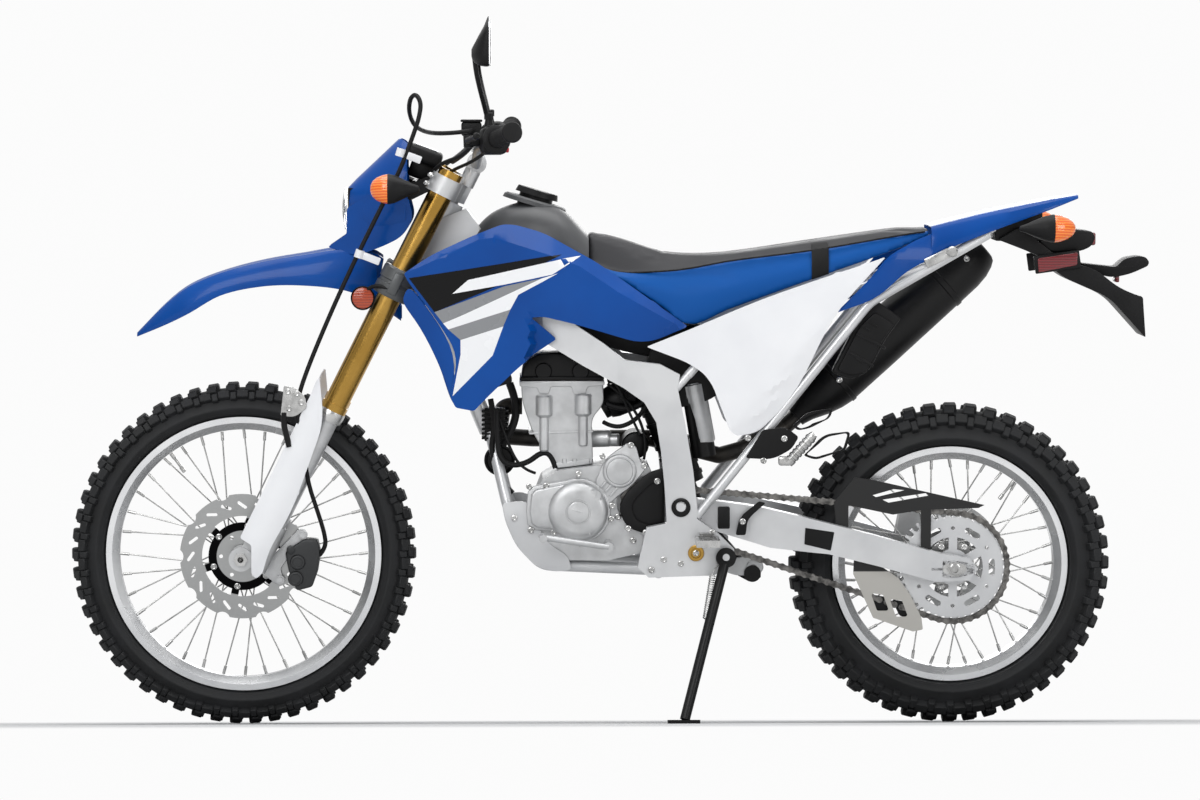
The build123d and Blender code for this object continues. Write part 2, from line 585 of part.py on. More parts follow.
SIDE_PLATE = [(96, 410), (192, 430), (240, 396), (270, 366), (270, 338), (230, 314), (100, 310), (78, 330)]
RAIL_LOW = [(222, -124, 463), (540, -106, 856), (780, -66, 990)]
RAIL_TOP = [(178, -124, 712), (240, -118, 780), (560, -100, 900), (690, -80, 938)]
with BuildPart() as main_frame:
    side_slab(SPAR_SIDE, 0, 150)
    plan_cut([(x, -y) for x, y in SPAR_PLAN + SPAR_INNER], 300, 1100)
    mirror(about=Plane.XZ)
    with BuildSketch(steering_plane(HEAD_LOW)):
        Circle(27)
    extrude(amount=HEAD_HIGH - HEAD_LOW)
    for y in (-70, 70):
        tube([(-214, y * 0.35, 590), (-180, y, 450), (-120, y, 330), (140, y, 318)], 45, 12)
    rod(*DOWN_TUBE, DOWN_TUBE_R)
    with BuildSketch(Plane(origin=STEER_FOOT + Vector(0, 16, 0), x_dir=STEER_BACK, z_dir=(0, -1, 0))):
        outline([(10, 1028), (10, 1085), (62, 1045), (100, 985), (84, 948), (48, 985), (48, 1028)])
    extrude(amount=32)
    for side in (-1, 1):
        for rail, radius in ((RAIL_LOW, 9), (RAIL_TOP, 8)):
            first, second = (Vector(x, -side * y, z) for x, y, z in rail[:2])
            slope = (second - first).normalized()
            rod(first - slope * 42, first - slope * SEAM, radius)
    rod((100, -PLATE_IN - 2, 700), (100, PLATE_IN + 2, 700), 16)
    rod((166, -PLATE_IN - 2, 335), (166, PLATE_IN + 2, 335), 14)
    side_slab(SIDE_PLATE,
              PLATE_IN, PLATE_OUT)
    side_slab(SIDE_PLATE,
              -PLATE_OUT, -PLATE_IN)
    for y in (-91, 91):
        rod((120, y - 21, 318), (120, y + 21, 318), 12)
    rod((PIVOT[0], -PLATE_OUT - 6, PIVOT[1]), (PIVOT[0], PLATE_OUT + 6, PIVOT[1]), AXLE_R)
    with BuildSketch(steering_plane(HEAD_LOW - 40)):
        Circle(15 + RUNNING)
    extrude(amount=HEAD_HIGH - HEAD_LOW + 80, mode=Mode.SUBTRACT)
    with BuildSketch(steering_plane(LOWER_CLAMP[0] - 10)):
        Circle(FORK_SPREAD + 42)
        Rectangle(300, 35, mode=Mode.SUBTRACT)
        Circle(47)
    extrude(amount=HEAD_LOW - LOWER_CLAMP[0] + 10, mode=Mode.SUBTRACT)
    with BuildSketch(steering_plane(HEAD_HIGH)):
        Circle(140)
    extrude(amount=130, mode=Mode.SUBTRACT)
    rod(stand_pivot - STAND_AXIS * 14, stand_pivot + STAND_AXIS * 14, 7 - RUNNING)
    rod(stand_pivot - STAND_AXIS * 20, stand_pivot - STAND_AXIS * (9 + SEAM), 15)

with BuildPart() as subframe:
    tube(RAIL_LOW, 90, 10)
    tube(RAIL_TOP, 60, 9)
    mirror(about=Plane.XZ)
    for x, half, z in ((240, 118, 780), (690, 82, 938)):
        rod((x, -half, z), (x, half, z), 8)
    side_slab([(745, 968), (795 - SEAM, 996), (795 - SEAM, 1010), (745, 984)], -66, 66)

CRANKCASE = [(-135, 440), (-112, 500), (-80, 520), (0, 530), (62, 548), (100, 530), (122, 480), (120, 400),
             (92, 356), (20, 340), (-70, 340), (-120, 380)]
with BuildPart() as crankcase:
    side_slab(CRANKCASE, -94, 92, corner=12)
    for y in (-70, 70):
        tube([(-214, y * 0.35, 590), (-180, y, 450), (-120, y, 330), (140, y, 318)], 45, 14, mode=Mode.SUBTRACT)
    with BuildSketch(left(74)):
        with Locations(COUNTERSHAFT):
            Circle(FRONT_PITCH_R + 14)
        outline([(84, 400), (84, 508), (160, 520), (160, 390)])
    extrude(amount=40, mode=Mode.SUBTRACT)
    with BuildSketch(left(70)):
        with Locations(COUNTERSHAFT):
            Circle(12)
    extrude(amount=22)

# studs that hold the head down: X, and the height of the stud's foot, its boss's foot and its boss's top
HEAD_STUDS = [(-107, 556, 619, 668), (-29, 566, 622, 671)]
with BuildPart() as cylinder:
    side_slab([(-152, 697), (10, 697), (13, 648), (-14, 620), (-9, 529.2), (-78, 520.6), (-127, 583), (-150, 657)],
              -62, 62, corner=5)
    side_slab([(-133, 586), (-8, 590), (-8, 597), (-137, 593)], -65, 65)
    side_slab([(-152, 686), (11, 686), (11, 697), (-152, 697)], -65, 65, corner=2)
    side_slab([(-20, 592), (14, 592), (19, 584), (19, 566), (-14, 560)], -40, 30, corner=3)
    for x, foot, boss_foot, boss_top in HEAD_STUDS:
        for y in (-60, 56):
            rod((x, y, foot), (x, y, boss_foot + 4), 9.5)
            rod((x, y, boss_foot), (x, y, boss_top), 16)
with BuildPart() as cylinder_head_cover:
    side_slab([(-152, 698), (10, 698), (2, 738), (-30, 752), (-120, 752), (-150, 730)], -58, 58, corner=8)
    side_slab([(-153, 698), (11, 698), (11, 705), (-153, 705)], -63, 63, corner=2)
    for x in (-108, -34):
        rod((x, -62, 718), (x, 62, 718), 17)
        for y in (-40, 40):
            rod((x, y, 740), (x, y, 758), 9)

GENERATOR, STARTER_GEAR, CLUTCH = (-39, 438), (43, 517), (0, 440)    # centres of the round covers
with BuildPart() as engine_covers:
    with BuildSketch(left(92 + SEAM)):
        with Locations(GENERATOR):
            Circle(63)
            with PolarLocations(65, 7, start_angle=-8):
                Circle(8)
        outline([(-138, 406), (-138, 476), (-60, 496), (-60, 406)], 8)
        with Locations(STARTER_GEAR):
            Circle(32)
            with PolarLocations(33, 3, start_angle=20):
                Circle(7)
        outline([(-20, 495), (20, 540), (60, 500), (44, 478), (16, 452)])
    extrude(amount=12)
    with BuildSketch(left(104)):
        with Locations(GENERATOR):
            Circle(61)
        outline([(-134, 410), (-134, 472), (-60, 490), (-60, 410)], 8)
        with Locations(STARTER_GEAR):
            Circle(31)
        outline([(-14, 493), (20, 530), (58, 493), (20, 456)])
    extrude(amount=12)
    with BuildSketch(left(115)):
        with Locations(GENERATOR):
            Circle(54)
        with Locations(STARTER_GEAR):
            Circle(27)
    extrude(amount=11, taper=20)
    with BuildSketch(left(125.5)):
        with Locations(GENERATOR):
            Circle(22.5)
            SlotOverall(26, 4, rotation=-12, mode=Mode.SUBTRACT)
        with Locations((-4, 466)):
            Circle(11)
            SlotOverall(13, 3, rotation=70, mode=Mode.SUBTRACT)
    extrude(amount=3)
    with BuildSketch(left(-94 - SEAM)):
        with Locations(CLUTCH):
            Circle(72)
            with PolarLocations(73, 9):
                Circle(7)
        with Locations((-84, 430)):
            Circle(40)
    extrude(amount=-14)
    with BuildSketch(left(-108)):
        with Locations(CLUTCH):
            Circle(68)
        with Locations((-84, 430)):
            Circle(36)
    extrude(amount=-7)
    with BuildSketch(left(-115)):
        with Locations(CLUTCH):
            Circle(61)
    extrude(amount=-5)
    with BuildSketch(left(-119)):
        with Locations(CLUTCH):
            Circle(50)
            Circle(44, mode=Mode.SUBTRACT)
    extrude(amount=-5)

with BuildPart() as sprocket_cover:
    side_slab([(52, 476), (100, 506), (130, 522), (130, 386), (85, 396), (54, 396)], 96, 108, corner=4)
    side_slab([(66, 468), (100, 490), (118, 500), (118, 408), (88, 416), (66, 440)], 107, 111, corner=3)
    rod((60, -98, 404), (60, -92 - SEAM, 404), 5)

with BuildPart() as radiator:
    side_slab([(-272, 900), (-236, 912), (-170, 700), (-206, 688)], 62, 140, corner=4)
    for fin in range(15):
        x, z = -268 + fin * 3.96, 887 - fin * 12.72
        side_slab([(x - 6, z + 1), (x - 4, z - 6), (x + 7, z - 2.6), (x + 5, z + 4.4)], 68, 134, mode=Mode.SUBTRACT)
    rod((-240, -101, 896), (-244, -101, 926), 17)
    tube_line = (DOWN_TUBE[1] - DOWN_TUBE[0]).normalized()
    for x, z in ((-254, 840), (-205, 730)):
        face = Vector(x, -64, z)
        centre = DOWN_TUBE[0] + tube_line * (face - DOWN_TUBE[0]).dot(tube_line)
        rod(face, centre + (face - centre).normalized() * (DOWN_TUBE_R + SEAM), 6)

PIPE_R = 17.0
MUFFLER_FRONT, MUFFLER_REAR = Vector(425, 122, 626), Vector(795, 150, 960)
muffler_axis = (MUFFLER_REAR - MUFFLER_FRONT).normalized()
with BuildPart() as exhaust_pipe:
    tube([(-150.4, 30, 640), (-190, 30, 640), (-198, 86, 575), (-130, 86, 570), (110, 86, 570), (250, 80, 535),
          (292, 84, 546), MUFFLER_FRONT - muffler_axis * 55, MUFFLER_FRONT - muffler_axis * 8], 20, PIPE_R)
with BuildPart() as muffler:
    for along, tall, wide in ((-20, 23, 23), (90, 54, 45), (380, 54, 45), (430, 54, 45), (492, 34, 32)):
        with BuildSketch(Plane(origin=MUFFLER_FRONT + muffler_axis * along, x_dir=(0, 1, 0), z_dir=muffler_axis)):
            Ellipse(wide, tall)
    loft(ruled=True)
    with BuildSketch(Plane(origin=MUFFLER_FRONT - muffler_axis * 22, z_dir=muffler_axis)):
        Circle(PIPE_R + SEAM)
    extrude(amount=22, mode=Mode.SUBTRACT)
    for along, grown in ((84, 2), (374, 2)):
        with BuildSketch(Plane(origin=MUFFLER_FRONT + muffler_axis * along, x_dir=(0, 1, 0), z_dir=muffler_axis)):
            Ellipse(45 + grown, 54 + grown)
        extrude(amount=10)
    with BuildSketch(Plane(origin=MUFFLER_FRONT + muffler_axis * 478, z_dir=muffler_axis)):
        Circle(20)
    extrude(amount=15, mode=Mode.SUBTRACT)

with BuildPart() as skid_plate:
    side_slab([(-192.8, 443.6), (-129, 316.1), (-51, 312.5), (-51, 309.3), (-131.1, 313), (-195.7, 442.2)], -97.3, 97.3)
    for near in (-97.3, 94 + SEAM):
        side_slab([(-193, 443), (-142, 446), (-139, 409), (-104, 388), (-105, 338), (-51, 318), (-51, 310),
                   (-131, 315)], near, near + 3)

# ---------------------------------------------------------------- tank, seat and panels
cap_plane = Plane(origin=(-124, 0, 1055), x_dir=(0.96, 0, -0.28), z_dir=(0.28, 0, 0.96))
# columns: X, bottom, top, half width, corner radius
TANK_STATIONS = [
    (-246, 944, 990, 40, 20), (-216, 900, 1026, 58, 34), (-180, 856, 1046, 78, 46), (-120, 830, 1052, 104, 52),
    (-60, 830, 1030, 108, 50), (-18, 850, 985, 100, 44)]
with BuildPart() as fuel_tank:
    for x, low, high, half, corner in TANK_STATIONS:
        with BuildSketch(Plane(origin=(x, 0, 0), x_dir=(0, -1, 0), z_dir=(-1, 0, 0))):
            with Locations((0, (low + high) / 2)):
                RectangleRounded(2 * half, high - low, corner)
    loft(ruled=True)
    side_slab(SPAR_SIDE, -150, 150, mode=Mode.SUBTRACT)
    with BuildSketch(cap_plane.offset(-14)):
        Circle(34 + SEAM)
    extrude(amount=60, mode=Mode.SUBTRACT)

with BuildPart() as fuel_cap:
    with BuildSketch(cap_plane.offset(-14 + SEAM)):
        Circle(34)
    extrude(amount=24)
    with BuildSketch(cap_plane.offset(10)):
        Circle(44)
    extrude(amount=12, taper=15)

# columns: X, seat top, colour line, bottom, half width on top, half width below
SEAT_STATIONS = [
    (-17.7, 992, 936, 925, 40, 84), (40, 976, 916, 902, 60, 96), (120, 950, 917, 852, 70, 104),
    (180, 943, 923, 812, 76, 108),
    (260, 946, 938, 842, 82, 112), (430, 970, 960, 903, 86, 110), (600, 994, 988, 962, 80, 92),
    (664, 1000, 996, 986, 60, 66)]
with BuildPart() as seat:
    for x, top, line, bottom, half_top, half_low in SEAT_STATIONS:
        with BuildSketch(Plane(origin=(x, 0, 0), x_dir=(0, -1, 0), z_dir=(-1, 0, 0))):
            with BuildLine():
                Polyline((-half_low, bottom), (half_low, bottom), (half_top, top - 12), (half_top - 16, top),
                         (16 - half_top, top), (-half_top, top - 12), close=True)
            make_face()
    loft(ruled=True)

SHROUD_SIDE = [(-383, 918), (-330, 954), (-242, 994), (-190, 1013), (-166, 1012), (-109, 996), (-49, 962),
               (-9, 940), (51, 899), (178, 809), (93, 773), (-45, 815), (-109, 831), (-133, 829), (-83, 785),
               (-150, 739), (-218, 675), (-246, 646), (-282, 653), (-292, 673), (-276, 759), (-326, 837),
               (-374, 901)]
SHROUD_PLAN = [(-400, 196), (-250, 190), (-120, 164), (0, 136), (190, 121)]
# the wall that turns inward from the shroud's front edge, as the mouth of the radiator's air duct
SCOOP_SIDE = [(-300, 818), (-330, 790), (-315, 736), (-307, 712), (-293, 670), (-283, 665), (-266, 762), (-290, 801)]
with BuildPart() as scoops:
    with BuildSketch(Plane(origin=(-374, -192.5, 901), x_dir=(-0.823, 0, -0.568), z_dir=(0.568, 0, -0.823))) as section:
        outline([(-12, -2.5), (0, -2.5), (26, 16), (26, 20), (-2, 4), (-12, 4)])
    extrude(section.sketch, amount=290)
    side_slab(SCOOP_SIDE, 100, 220, mode=Mode.INTERSECT)
    mirror(about=Plane.XZ)
with BuildPart() as radiator_shrouds:
    side_slab(SHROUD_SIDE, 100, 220)
    plan_cut([(x, -y) for x, y in SHROUD_PLAN] + [(x, -y + PANEL) for x, y in reversed(SHROUD_PLAN)], 600, 1050)
    for x, z, wall, tank_half in ((-120, 930, 162.5, 104), (-60, 900, 148.5, 108)):
        rod((x, -wall, z), (x, -tank_half - 3 * SEAM, z), 8)
    mirror(about=Plane.XZ)
    add(scoops.part)

COVER_SIDE = [(95, 770), (180, 804), (318, 862), (434, 902), (570, 946), (469, 837), (405, 703), (370, 651),
              (317, 599), (275, 592), (261, 603), (226, 694), (208, 718), (174, 740)]
with BuildPart() as side_covers:
    side_slab(COVER_SIDE, 118, 150)
    plan_cut([(80, -142), (330, -140), (580, -124), (580, -121), (330, -137), (80, -139)], 500, 1000)
    for x, rail_side, z in ((280, 124.8, 795), (400, 118.1, 840)):
        rod((x, -134, z), (x, -rail_side - 2 * SEAM, z), 7)
    mirror(about=Plane.XZ)

# columns: X, top, edge, half width
TAIL_STATIONS = [(666, 1008, 948, 94), (780, 1036, 996, 84), (902, 1059, 1040, 72),
                 (959, 1066, 1060, 50)]
TAIL_WING = [(471, 835), (541, 905), (576, 949), (634, 980), (665.7, 990), (665.7, 946), (611, 917), (553, 864)]
with BuildPart() as tail_wings:
    side_slab(TAIL_WING, 80, 140)
    plan_cut([(460, -121), (570, -119), (666, -94.5), (666, -91.5), (570, -115.8), (460, -117.8)], 700, 1100)
    mirror(about=Plane.XZ)

with BuildPart() as rear_fender:
    fender_shell(TAIL_STATIONS, PANEL, 0.8)
    add(tail_wings.part)

with BuildPart() as plate_holder:
    side_slab([(795, 1035.2), (890, 1053.1), (890, 975), (795, 975)], -50, 50)
    side_slab([(800, 975), (888, 946), (925, 905), (1022, 862), (1060, 820), (1096, 781), (1090, 860),
               (1040, 880), (990, 920), (930, 930), (890, 964), (830, 1000)], -62, 62)
    side_slab([(969, 930), (1040, 920), (1057, 938), (1099, 942), (1107, 925), (1069, 908), (1030, 900),
               (985, 915)], -30, 30)
with BuildPart() as tail_lamp:
    side_slab([(890 + SEAM, 972), (890 + SEAM, 995), (985, 1003), (1001, 985), (985, 955)], -52, 52, corner=6)
with BuildPart() as rear_indicators:
    for side in (-1, 1):
        with BuildSketch(Plane(origin=(832, side * 160, 1004), z_dir=(1, 0, 0.02))):
            Circle(5)
        with BuildSketch(Plane(origin=(905, side * 160, 1004), z_dir=(1, 0, 0.02))):
            Ellipse(28, 24)
        loft()
        with BuildSketch(Plane(origin=(905, side * 160, 1004), z_dir=(1, 0, 0.02))):
            Ellipse(28, 24)
        with BuildSketch(Plane(origin=(944, side * 160, 1003), z_dir=(1, 0, 0.02))):
            Ellipse(14, 11)
        loft()
        rod((866, side * 150, 1000), (866, side * (50 + SEAM), 1000), 7)

with BuildPart() as tool_box:
    side_slab([(469, 726), (519, 816), (556, 852), (604, 821), (568, 778), (536, 720), (500, 706)], 56, 92, corner=5)
    side_slab([(478, 727), (519, 811), (558, 838), (597, 818), (560, 770), (530, 716), (500, 709)], 56, 96.7, corner=4)
    side_slab([(494, 780), (515, 832), (560, 834), (560, 800)], 70, 96.7, corner=3)    # the lug on the seat rail

# ================================================================ rear end
ARM_SIDE = [(150, 470), (253, 458), (325, 448),
            *with_axle([(414, 428), (552, 392), (677, 357), (740, 346), (757, 325), (740, 302), (673, 299),
                        (556, 331), (459, 355)]),
            (342, 367), (200, 410), (150, 432)]
ARM_PLAN = [(130, 108), (300, 110), *with_axle([(420, ARM_OUT), (800, ARM_OUT), (800, ARM_IN), (440, ARM_IN)]),
            (300, 74), (130, 74)]
with BuildPart() as swingarm:
    side_slab(ARM_SIDE, 0, 150)
    plan_cut([(x, -y) for x, y in ARM_PLAN], 200, 600)
    with BuildSketch(left(40)):
        with Locations(PIVOT):
            Circle(21)
    extrude(amount=68)
    mirror(about=Plane.XZ)
    side_slab([(284, 438), (352, 424), (352, 380), (284, 392)], -80, 80)
    with BuildSketch(left(-150)):
        with Locations(PIVOT):
            Circle(AXLE_R + SEAM)
        with Locations((REAR_AXLE_X, REAR_TYRE_R)):
            SlotOverall(48, 2 * AXLE_R + 1)
    extrude(amount=300, mode=Mode.SUBTRACT)
    add(chain_loop(5, CHAIN_Y - 11, ARM_IN), mode=Mode.SUBTRACT)

with BuildPart() as rear_axle:
    with BuildSketch(axis_at(REAR_AXLE, -142)):
        Circle(AXLE_R)
    extrude(amount=284)
    for start in (ARM_OUT + SEAM, -ARM_OUT - SEAM - 10):
        with BuildSketch(axis_at(REAR_AXLE, start)):
            RegularPolygon(16, 6)
        extrude(amount=10)
    for start, end in ((CHAIN_Y + 3 + SEAM, ARM_IN - SEAM), (-ARM_IN + SEAM, -REAR_DISC_Y - 4)):
        with BuildSketch(axis_at(REAR_AXLE, start)):
            Circle(AXLE_R + 5)
        extrude(amount=end - start)
    with BuildSketch(axis_at(REAR_AXLE, -160)):
        Circle(AXLE_BORE_R)
    extrude(amount=320, mode=Mode.SUBTRACT)

# the spring unit, and the rocker that it stands on behind the engine
with BuildPart() as shock_absorber:
    top, foot = Vector(100, 0, 700), Vector(208, 0, 420)
    slope = (foot - top).normalized()
    rod(top + slope * (16 + SEAM), foot, 16)
    rod(top + slope * 50, top + slope * 230, 34)
    rod((190, -52, 690), (214, -52, 545), 24)
    rod(top + slope * 40, (192, -52, 672), 9)
    side_slab([(190, 410), (200, 440), (226, 440), (284 - SEAM, 425), (284 - SEAM, 400), (226, 396)], -26, 26)
    side_slab([(196, 414), (226, 414), (300, 330), (328, 318), (330, 296), (306, 288), (284, 300)], -18, 18, corner=4)
    rod((312, -34, 306), (312, 34, 306), 17)
    for turn_of in range(7):
        along = top + slope * (66 + turn_of * 24)
        with BuildSketch(Plane(origin=along, z_dir=slope)):
            Circle(37)
        extrude(amount=8)

CHAIN_GUARD = [(512, 506), (552, 500), (772, 450), (760, 444), (665, 441), (665, 352), (645, 352), (645, 440),
               (589, 431), (500, 450), (500, 385), (478, 385), (471, 456)]
# the plate that leads the chain onto the rear sprocket from below
GUIDE_SIDE = [(512, 356), (536, 348), (600, 304), (625, 269), (647, 224), (650, 200), (630, 196), (550, 224),
              (510, 312)]
with BuildPart() as chain_guard:
    side_slab(with_axle(CHAIN_GUARD), CHAIN_Y + 8.9, ARM_IN - SEAM)
    for slot in ([(568, 461), (580, 455), (659, 469), (654, 474)], [(548, 470), (555, 466), (612, 480), (590, 482)]):
        side_slab(with_axle(slot), CHAIN_Y, ARM_IN + 10, mode=Mode.SUBTRACT)
    side_slab(with_axle(GUIDE_SIDE), CHAIN_Y + 8.9, ARM_IN - SEAM, corner=3)
    for x, z in ((562, 252), (600, 240)):
        side_slab(with_axle([(x - 17, z + 22), (x + 8, z + 18), (x + 20, z - 14), (x - 4, z - 14)]),
                  CHAIN_Y, ARM_IN + 10, corner=4, mode=Mode.SUBTRACT)


with BuildPart() as drive_chain:
    add(chain_loop(0, CHAIN_Y - 8, CHAIN_Y + 8))
    with BuildSketch(left(CHAIN_Y - 4)):
        with Locations((REAR_AXLE_X, REAR_TYRE_R)):
            Circle(REAR_PITCH_R + TOOTH_DEPTH + 1)
        with Locations(COUNTERSHAFT):
            Circle(FRONT_PITCH_R + TOOTH_DEPTH + 1)
    extrude(amount=8, mode=Mode.SUBTRACT)

with BuildPart() as front_sprocket:
    with BuildSketch(left(CHAIN_Y - SPROCKET_T / 2)):
        with Locations(COUNTERSHAFT):
            Circle(FRONT_PITCH_R + TOOTH_DEPTH - 1)
            with PolarLocations(FRONT_PITCH_R, FRONT_TEETH):
                SlotCenterToCenter(6, 10.3, mode=Mode.SUBTRACT)
            Circle(12 + SEAM, mode=Mode.SUBTRACT)
    extrude(amount=SPROCKET_T)

with BuildPart() as rear_caliper:
    side_slab(with_axle([(606, 372), (618, 430), (668, 444), (690, 400), (650, 372)]), -ARM_IN + SEAM, -52,
              corner=6)
    with BuildSketch(axis_at(REAR_AXLE, -REAR_DISC_Y - DISC_T / 2 - 5)):
        Circle(REAR_DISC_R + 6)
    extrude(amount=DISC_T + 10, mode=Mode.SUBTRACT)

with BuildPart() as footpegs:
    with BuildSketch(Plane(origin=(214, -PLATE_OUT - SEAM, 389), x_dir=(1, 0, 0), z_dir=(0, -1, 0))):
        Rectangle(28, 24)
    extrude(amount=26)
    with BuildSketch(Plane.XY.offset(382)):
        with Locations((214, -206)):
            Rectangle(46, 92)
            Rectangle(34, 80, mode=Mode.SUBTRACT)
            with Locations((0, -22), (0, 0), (0, 22)):
                Rectangle(35, 5)
    extrude(amount=14)
    mirror(about=Plane.XZ)

with BuildPart() as passenger_pegs:
    side_slab([(292, 548), (326, 600), (400, 585), (434, 594), (462, 605), (500, 605), (494, 577), (467, 555),
               (423, 543), (404, 560), (350, 545), (330, 536)], 130.1, 135, corner=3)
    side_slab([(456, 594), (486, 596), (478, 577), (434, 561), (428, 567)], 120, 140, corner=2, mode=Mode.SUBTRACT)
    side_slab([(352, 592), (388, 590), (392, 556), (358, 554)], 134, 150, corner=3)
    rod((374, -142, 540), (412, -146, 598), 10)
    # the right bracket is short, to leave room for the exhaust pipe
    side_slab([(292, 548), (326, 600), (348, 600), (350, 545), (330, 536)], -135, -130.1)
    rod((338, 133, 560), (372, 160, 600), 9)

with BuildPart() as foot_controls:
    rod((20, -92 - SEAM, 372), (20, -150, 372), 10)
    rod((20, -146, 372), (-110, -150, 392), 6)
    rod((-110, -140, 392), (-110, -178, 392), 8)
    rod((150, PLATE_OUT + SEAM, 378), (150, 158, 378), 10)
    rod((150, 152, 378), (-60, 158, 386), 7)
    with BuildSketch(Plane(origin=(-70, 158, 386))):
        Rectangle(40, 34)
    extrude(amount=8)

# ---------------------------------------------------------------- side stand
with BuildPart() as side_stand:
    with BuildSketch(Plane(origin=stand_pivot - STAND_AXIS * 9, z_dir=STAND_AXIS)):
        Circle(20)
    extrude(amount=18)
    rod(stand_pivot + down * 0.04, stand_foot - down.normalized() * 8, STAND_R)
    with BuildSketch(Plane(origin=stand_foot, x_dir=(1, 0, 0), z_dir=GROUND_UP)):
        RectangleRounded(64, 44, 12)
    extrude(amount=7)
    with BuildSketch(Plane(origin=stand_pivot - STAND_AXIS * 30, z_dir=STAND_AXIS)):
        Circle(7)
    extrude(amount=60, mode=Mode.SUBTRACT)

# ================================================================ parked on the stand
PIECES = {
    "front_tyre": front_tyre, "front_rim": front_rim, "front_hub": front_hub, "front_brake_disc": front_disc,
    "rear_tyre": rear_tyre, "rear_rim": rear_rim, "rear_hub": rear_hub, "rear_brake_disc": rear_disc,
    "rear_sprocket": rear_sprocket.part, "fork_tubes": fork_tubes.part, "fork_lowers": fork_lowers.part,
    "front_axle": front_axle.part, "fork_guards": fork_guards.part, "triple_clamps": triple_clamps.part,
    "handlebar": handlebar.part, "grips": grips.part, "hand_controls": hand_controls.part,
    "mirrors": mirrors.part, "headlight_cowl": headlight_cowl.part, "headlight": headlight.part,
    "lamp_bracket": lamp_bracket.part, "instrument_panel": instrument_panel.part,
    "front_indicators": front_indicators.part, "front_fender": front_fender.part,
    "front_caliper": front_caliper.part, "front_brake_hose": front_brake_hose.part,
    "main_frame": main_frame.part, "subframe": subframe.part, "crankcase": crankcase.part,
    "cylinder": cylinder.part, "cylinder_head_cover": cylinder_head_cover.part,
    "engine_covers": engine_covers.part, "sprocket_cover": sprocket_cover.part, "radiator": radiator.part,
    "exhaust_pipe": exhaust_pipe.part, "muffler": muffler.part, "skid_plate": skid_plate.part,
    "fuel_tank": fuel_tank.part, "fuel_cap": fuel_cap.part, "seat": seat.part,
    "radiator_shrouds": radiator_shrouds.part, "side_covers": side_covers.part,
    "rear_fender": rear_fender.part, "plate_holder": plate_holder.part,
    "tail_lamp": tail_lamp.part, "rear_indicators": rear_indicators.part, "tool_box": tool_box.part,
    "swingarm": swingarm.part, "rear_axle": rear_axle.part, "shock_absorber": shock_absorber.part,
    "chain_guard": chain_guard.part, "drive_chain": drive_chain.part, "rear_caliper": rear_caliper.part,
    "footpegs": footpegs.part, "passenger_pegs": passenger_pegs.part, "foot_controls": foot_controls.part,
    "front_sprocket": front_sprocket.part,
    "side_stand": side_stand.part,
}


def park(piece):
    """Leans a piece to the left about the line between the tyres."""
    return piece.rotate(Axis.X, LEAN)


if __name__ == "__main__":
    parked = {name: park(piece) for name, piece in PIECES.items()}
    boxes = [piece.bounding_box() for piece in parked.values()]
    home = Pos(
        -(min(box.min.X for box in boxes) + max(box.max.X for box in boxes)) / 2,
        -(min(box.min.Y for box in boxes) + max(box.max.Y for box in boxes)) / 2,
        -min(box.min.Z for box in boxes))
    for name, piece in parked.items():
        placed = home * piece
        placed.label = name
        export_step(placed, f"parts/{name}.step")
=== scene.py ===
import json
import math

import bmesh
import bpy
from mathutils import Matrix, Vector
from mathutils.geometry import delaunay_2d_cdt


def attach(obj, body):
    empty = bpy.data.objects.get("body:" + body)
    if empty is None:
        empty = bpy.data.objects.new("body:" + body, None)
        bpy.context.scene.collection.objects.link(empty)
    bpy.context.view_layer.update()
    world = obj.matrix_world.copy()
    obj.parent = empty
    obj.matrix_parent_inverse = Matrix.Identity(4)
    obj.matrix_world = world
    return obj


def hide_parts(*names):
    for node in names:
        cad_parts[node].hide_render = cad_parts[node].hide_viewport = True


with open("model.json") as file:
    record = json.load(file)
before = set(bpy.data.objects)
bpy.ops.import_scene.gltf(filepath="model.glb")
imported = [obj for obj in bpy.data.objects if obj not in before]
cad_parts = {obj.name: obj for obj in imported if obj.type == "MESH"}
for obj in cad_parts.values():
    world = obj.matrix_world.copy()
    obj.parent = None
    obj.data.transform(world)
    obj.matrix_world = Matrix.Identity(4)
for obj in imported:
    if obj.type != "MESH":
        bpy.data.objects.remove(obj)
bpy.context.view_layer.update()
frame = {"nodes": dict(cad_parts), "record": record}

# ================================================================ the frame that pieces are drawn in
# Pieces are drawn upright in millimetres: X from the front wheel to the rear wheel, -Y the rider's left,
# Z up from the ground. PARK leans them onto the side stand and brings them to the row frame in metres.
LEAN = math.radians(8)
FRONT_AXLE = Vector((-710, 0, 346.7))
REAR_AXLE = Vector((710, 0, 324.6))
leaned = Matrix.Rotation(LEAN, 4, "X") @ Matrix.Scale(0.001, 4)
axle_place = next(m["pos_m"] for m in frame["record"]["mounts"] if m["name"] == "front_axle_bore")
PARK = Matrix.Translation(Vector(axle_place) - leaned @ FRONT_AXLE) @ leaned
RAKE = math.radians(26.67)
STEER_FOOT = Vector((-822, 0, 0))
STEER_UP = Vector((math.sin(RAKE), 0, math.cos(RAKE)))
STEER_BACK = Vector((math.cos(RAKE), 0, -math.sin(RAKE)))
LEFT, RIGHT, UP = Vector((0, -1, 0)), Vector((0, 1, 0)), Vector((0, 0, 1))
SIDES = (-1, 1)


def on_steering(back, across, up):
    """A point by its place behind the steering axis, across it, and up along it from the ground."""
    return STEER_FOOT + STEER_BACK * back + Vector((0, across, 0)) + STEER_UP * up


# ================================================================ materials
def linear(code):
    """An sRGB hex colour as linear light."""
    parts = [int(code[i:i + 2], 16) / 255 for i in (1, 3, 5)]
    return (*[p / 12.92 if p <= 0.04045 else ((p + 0.055) / 1.055) ** 2.4 for p in parts], 1)


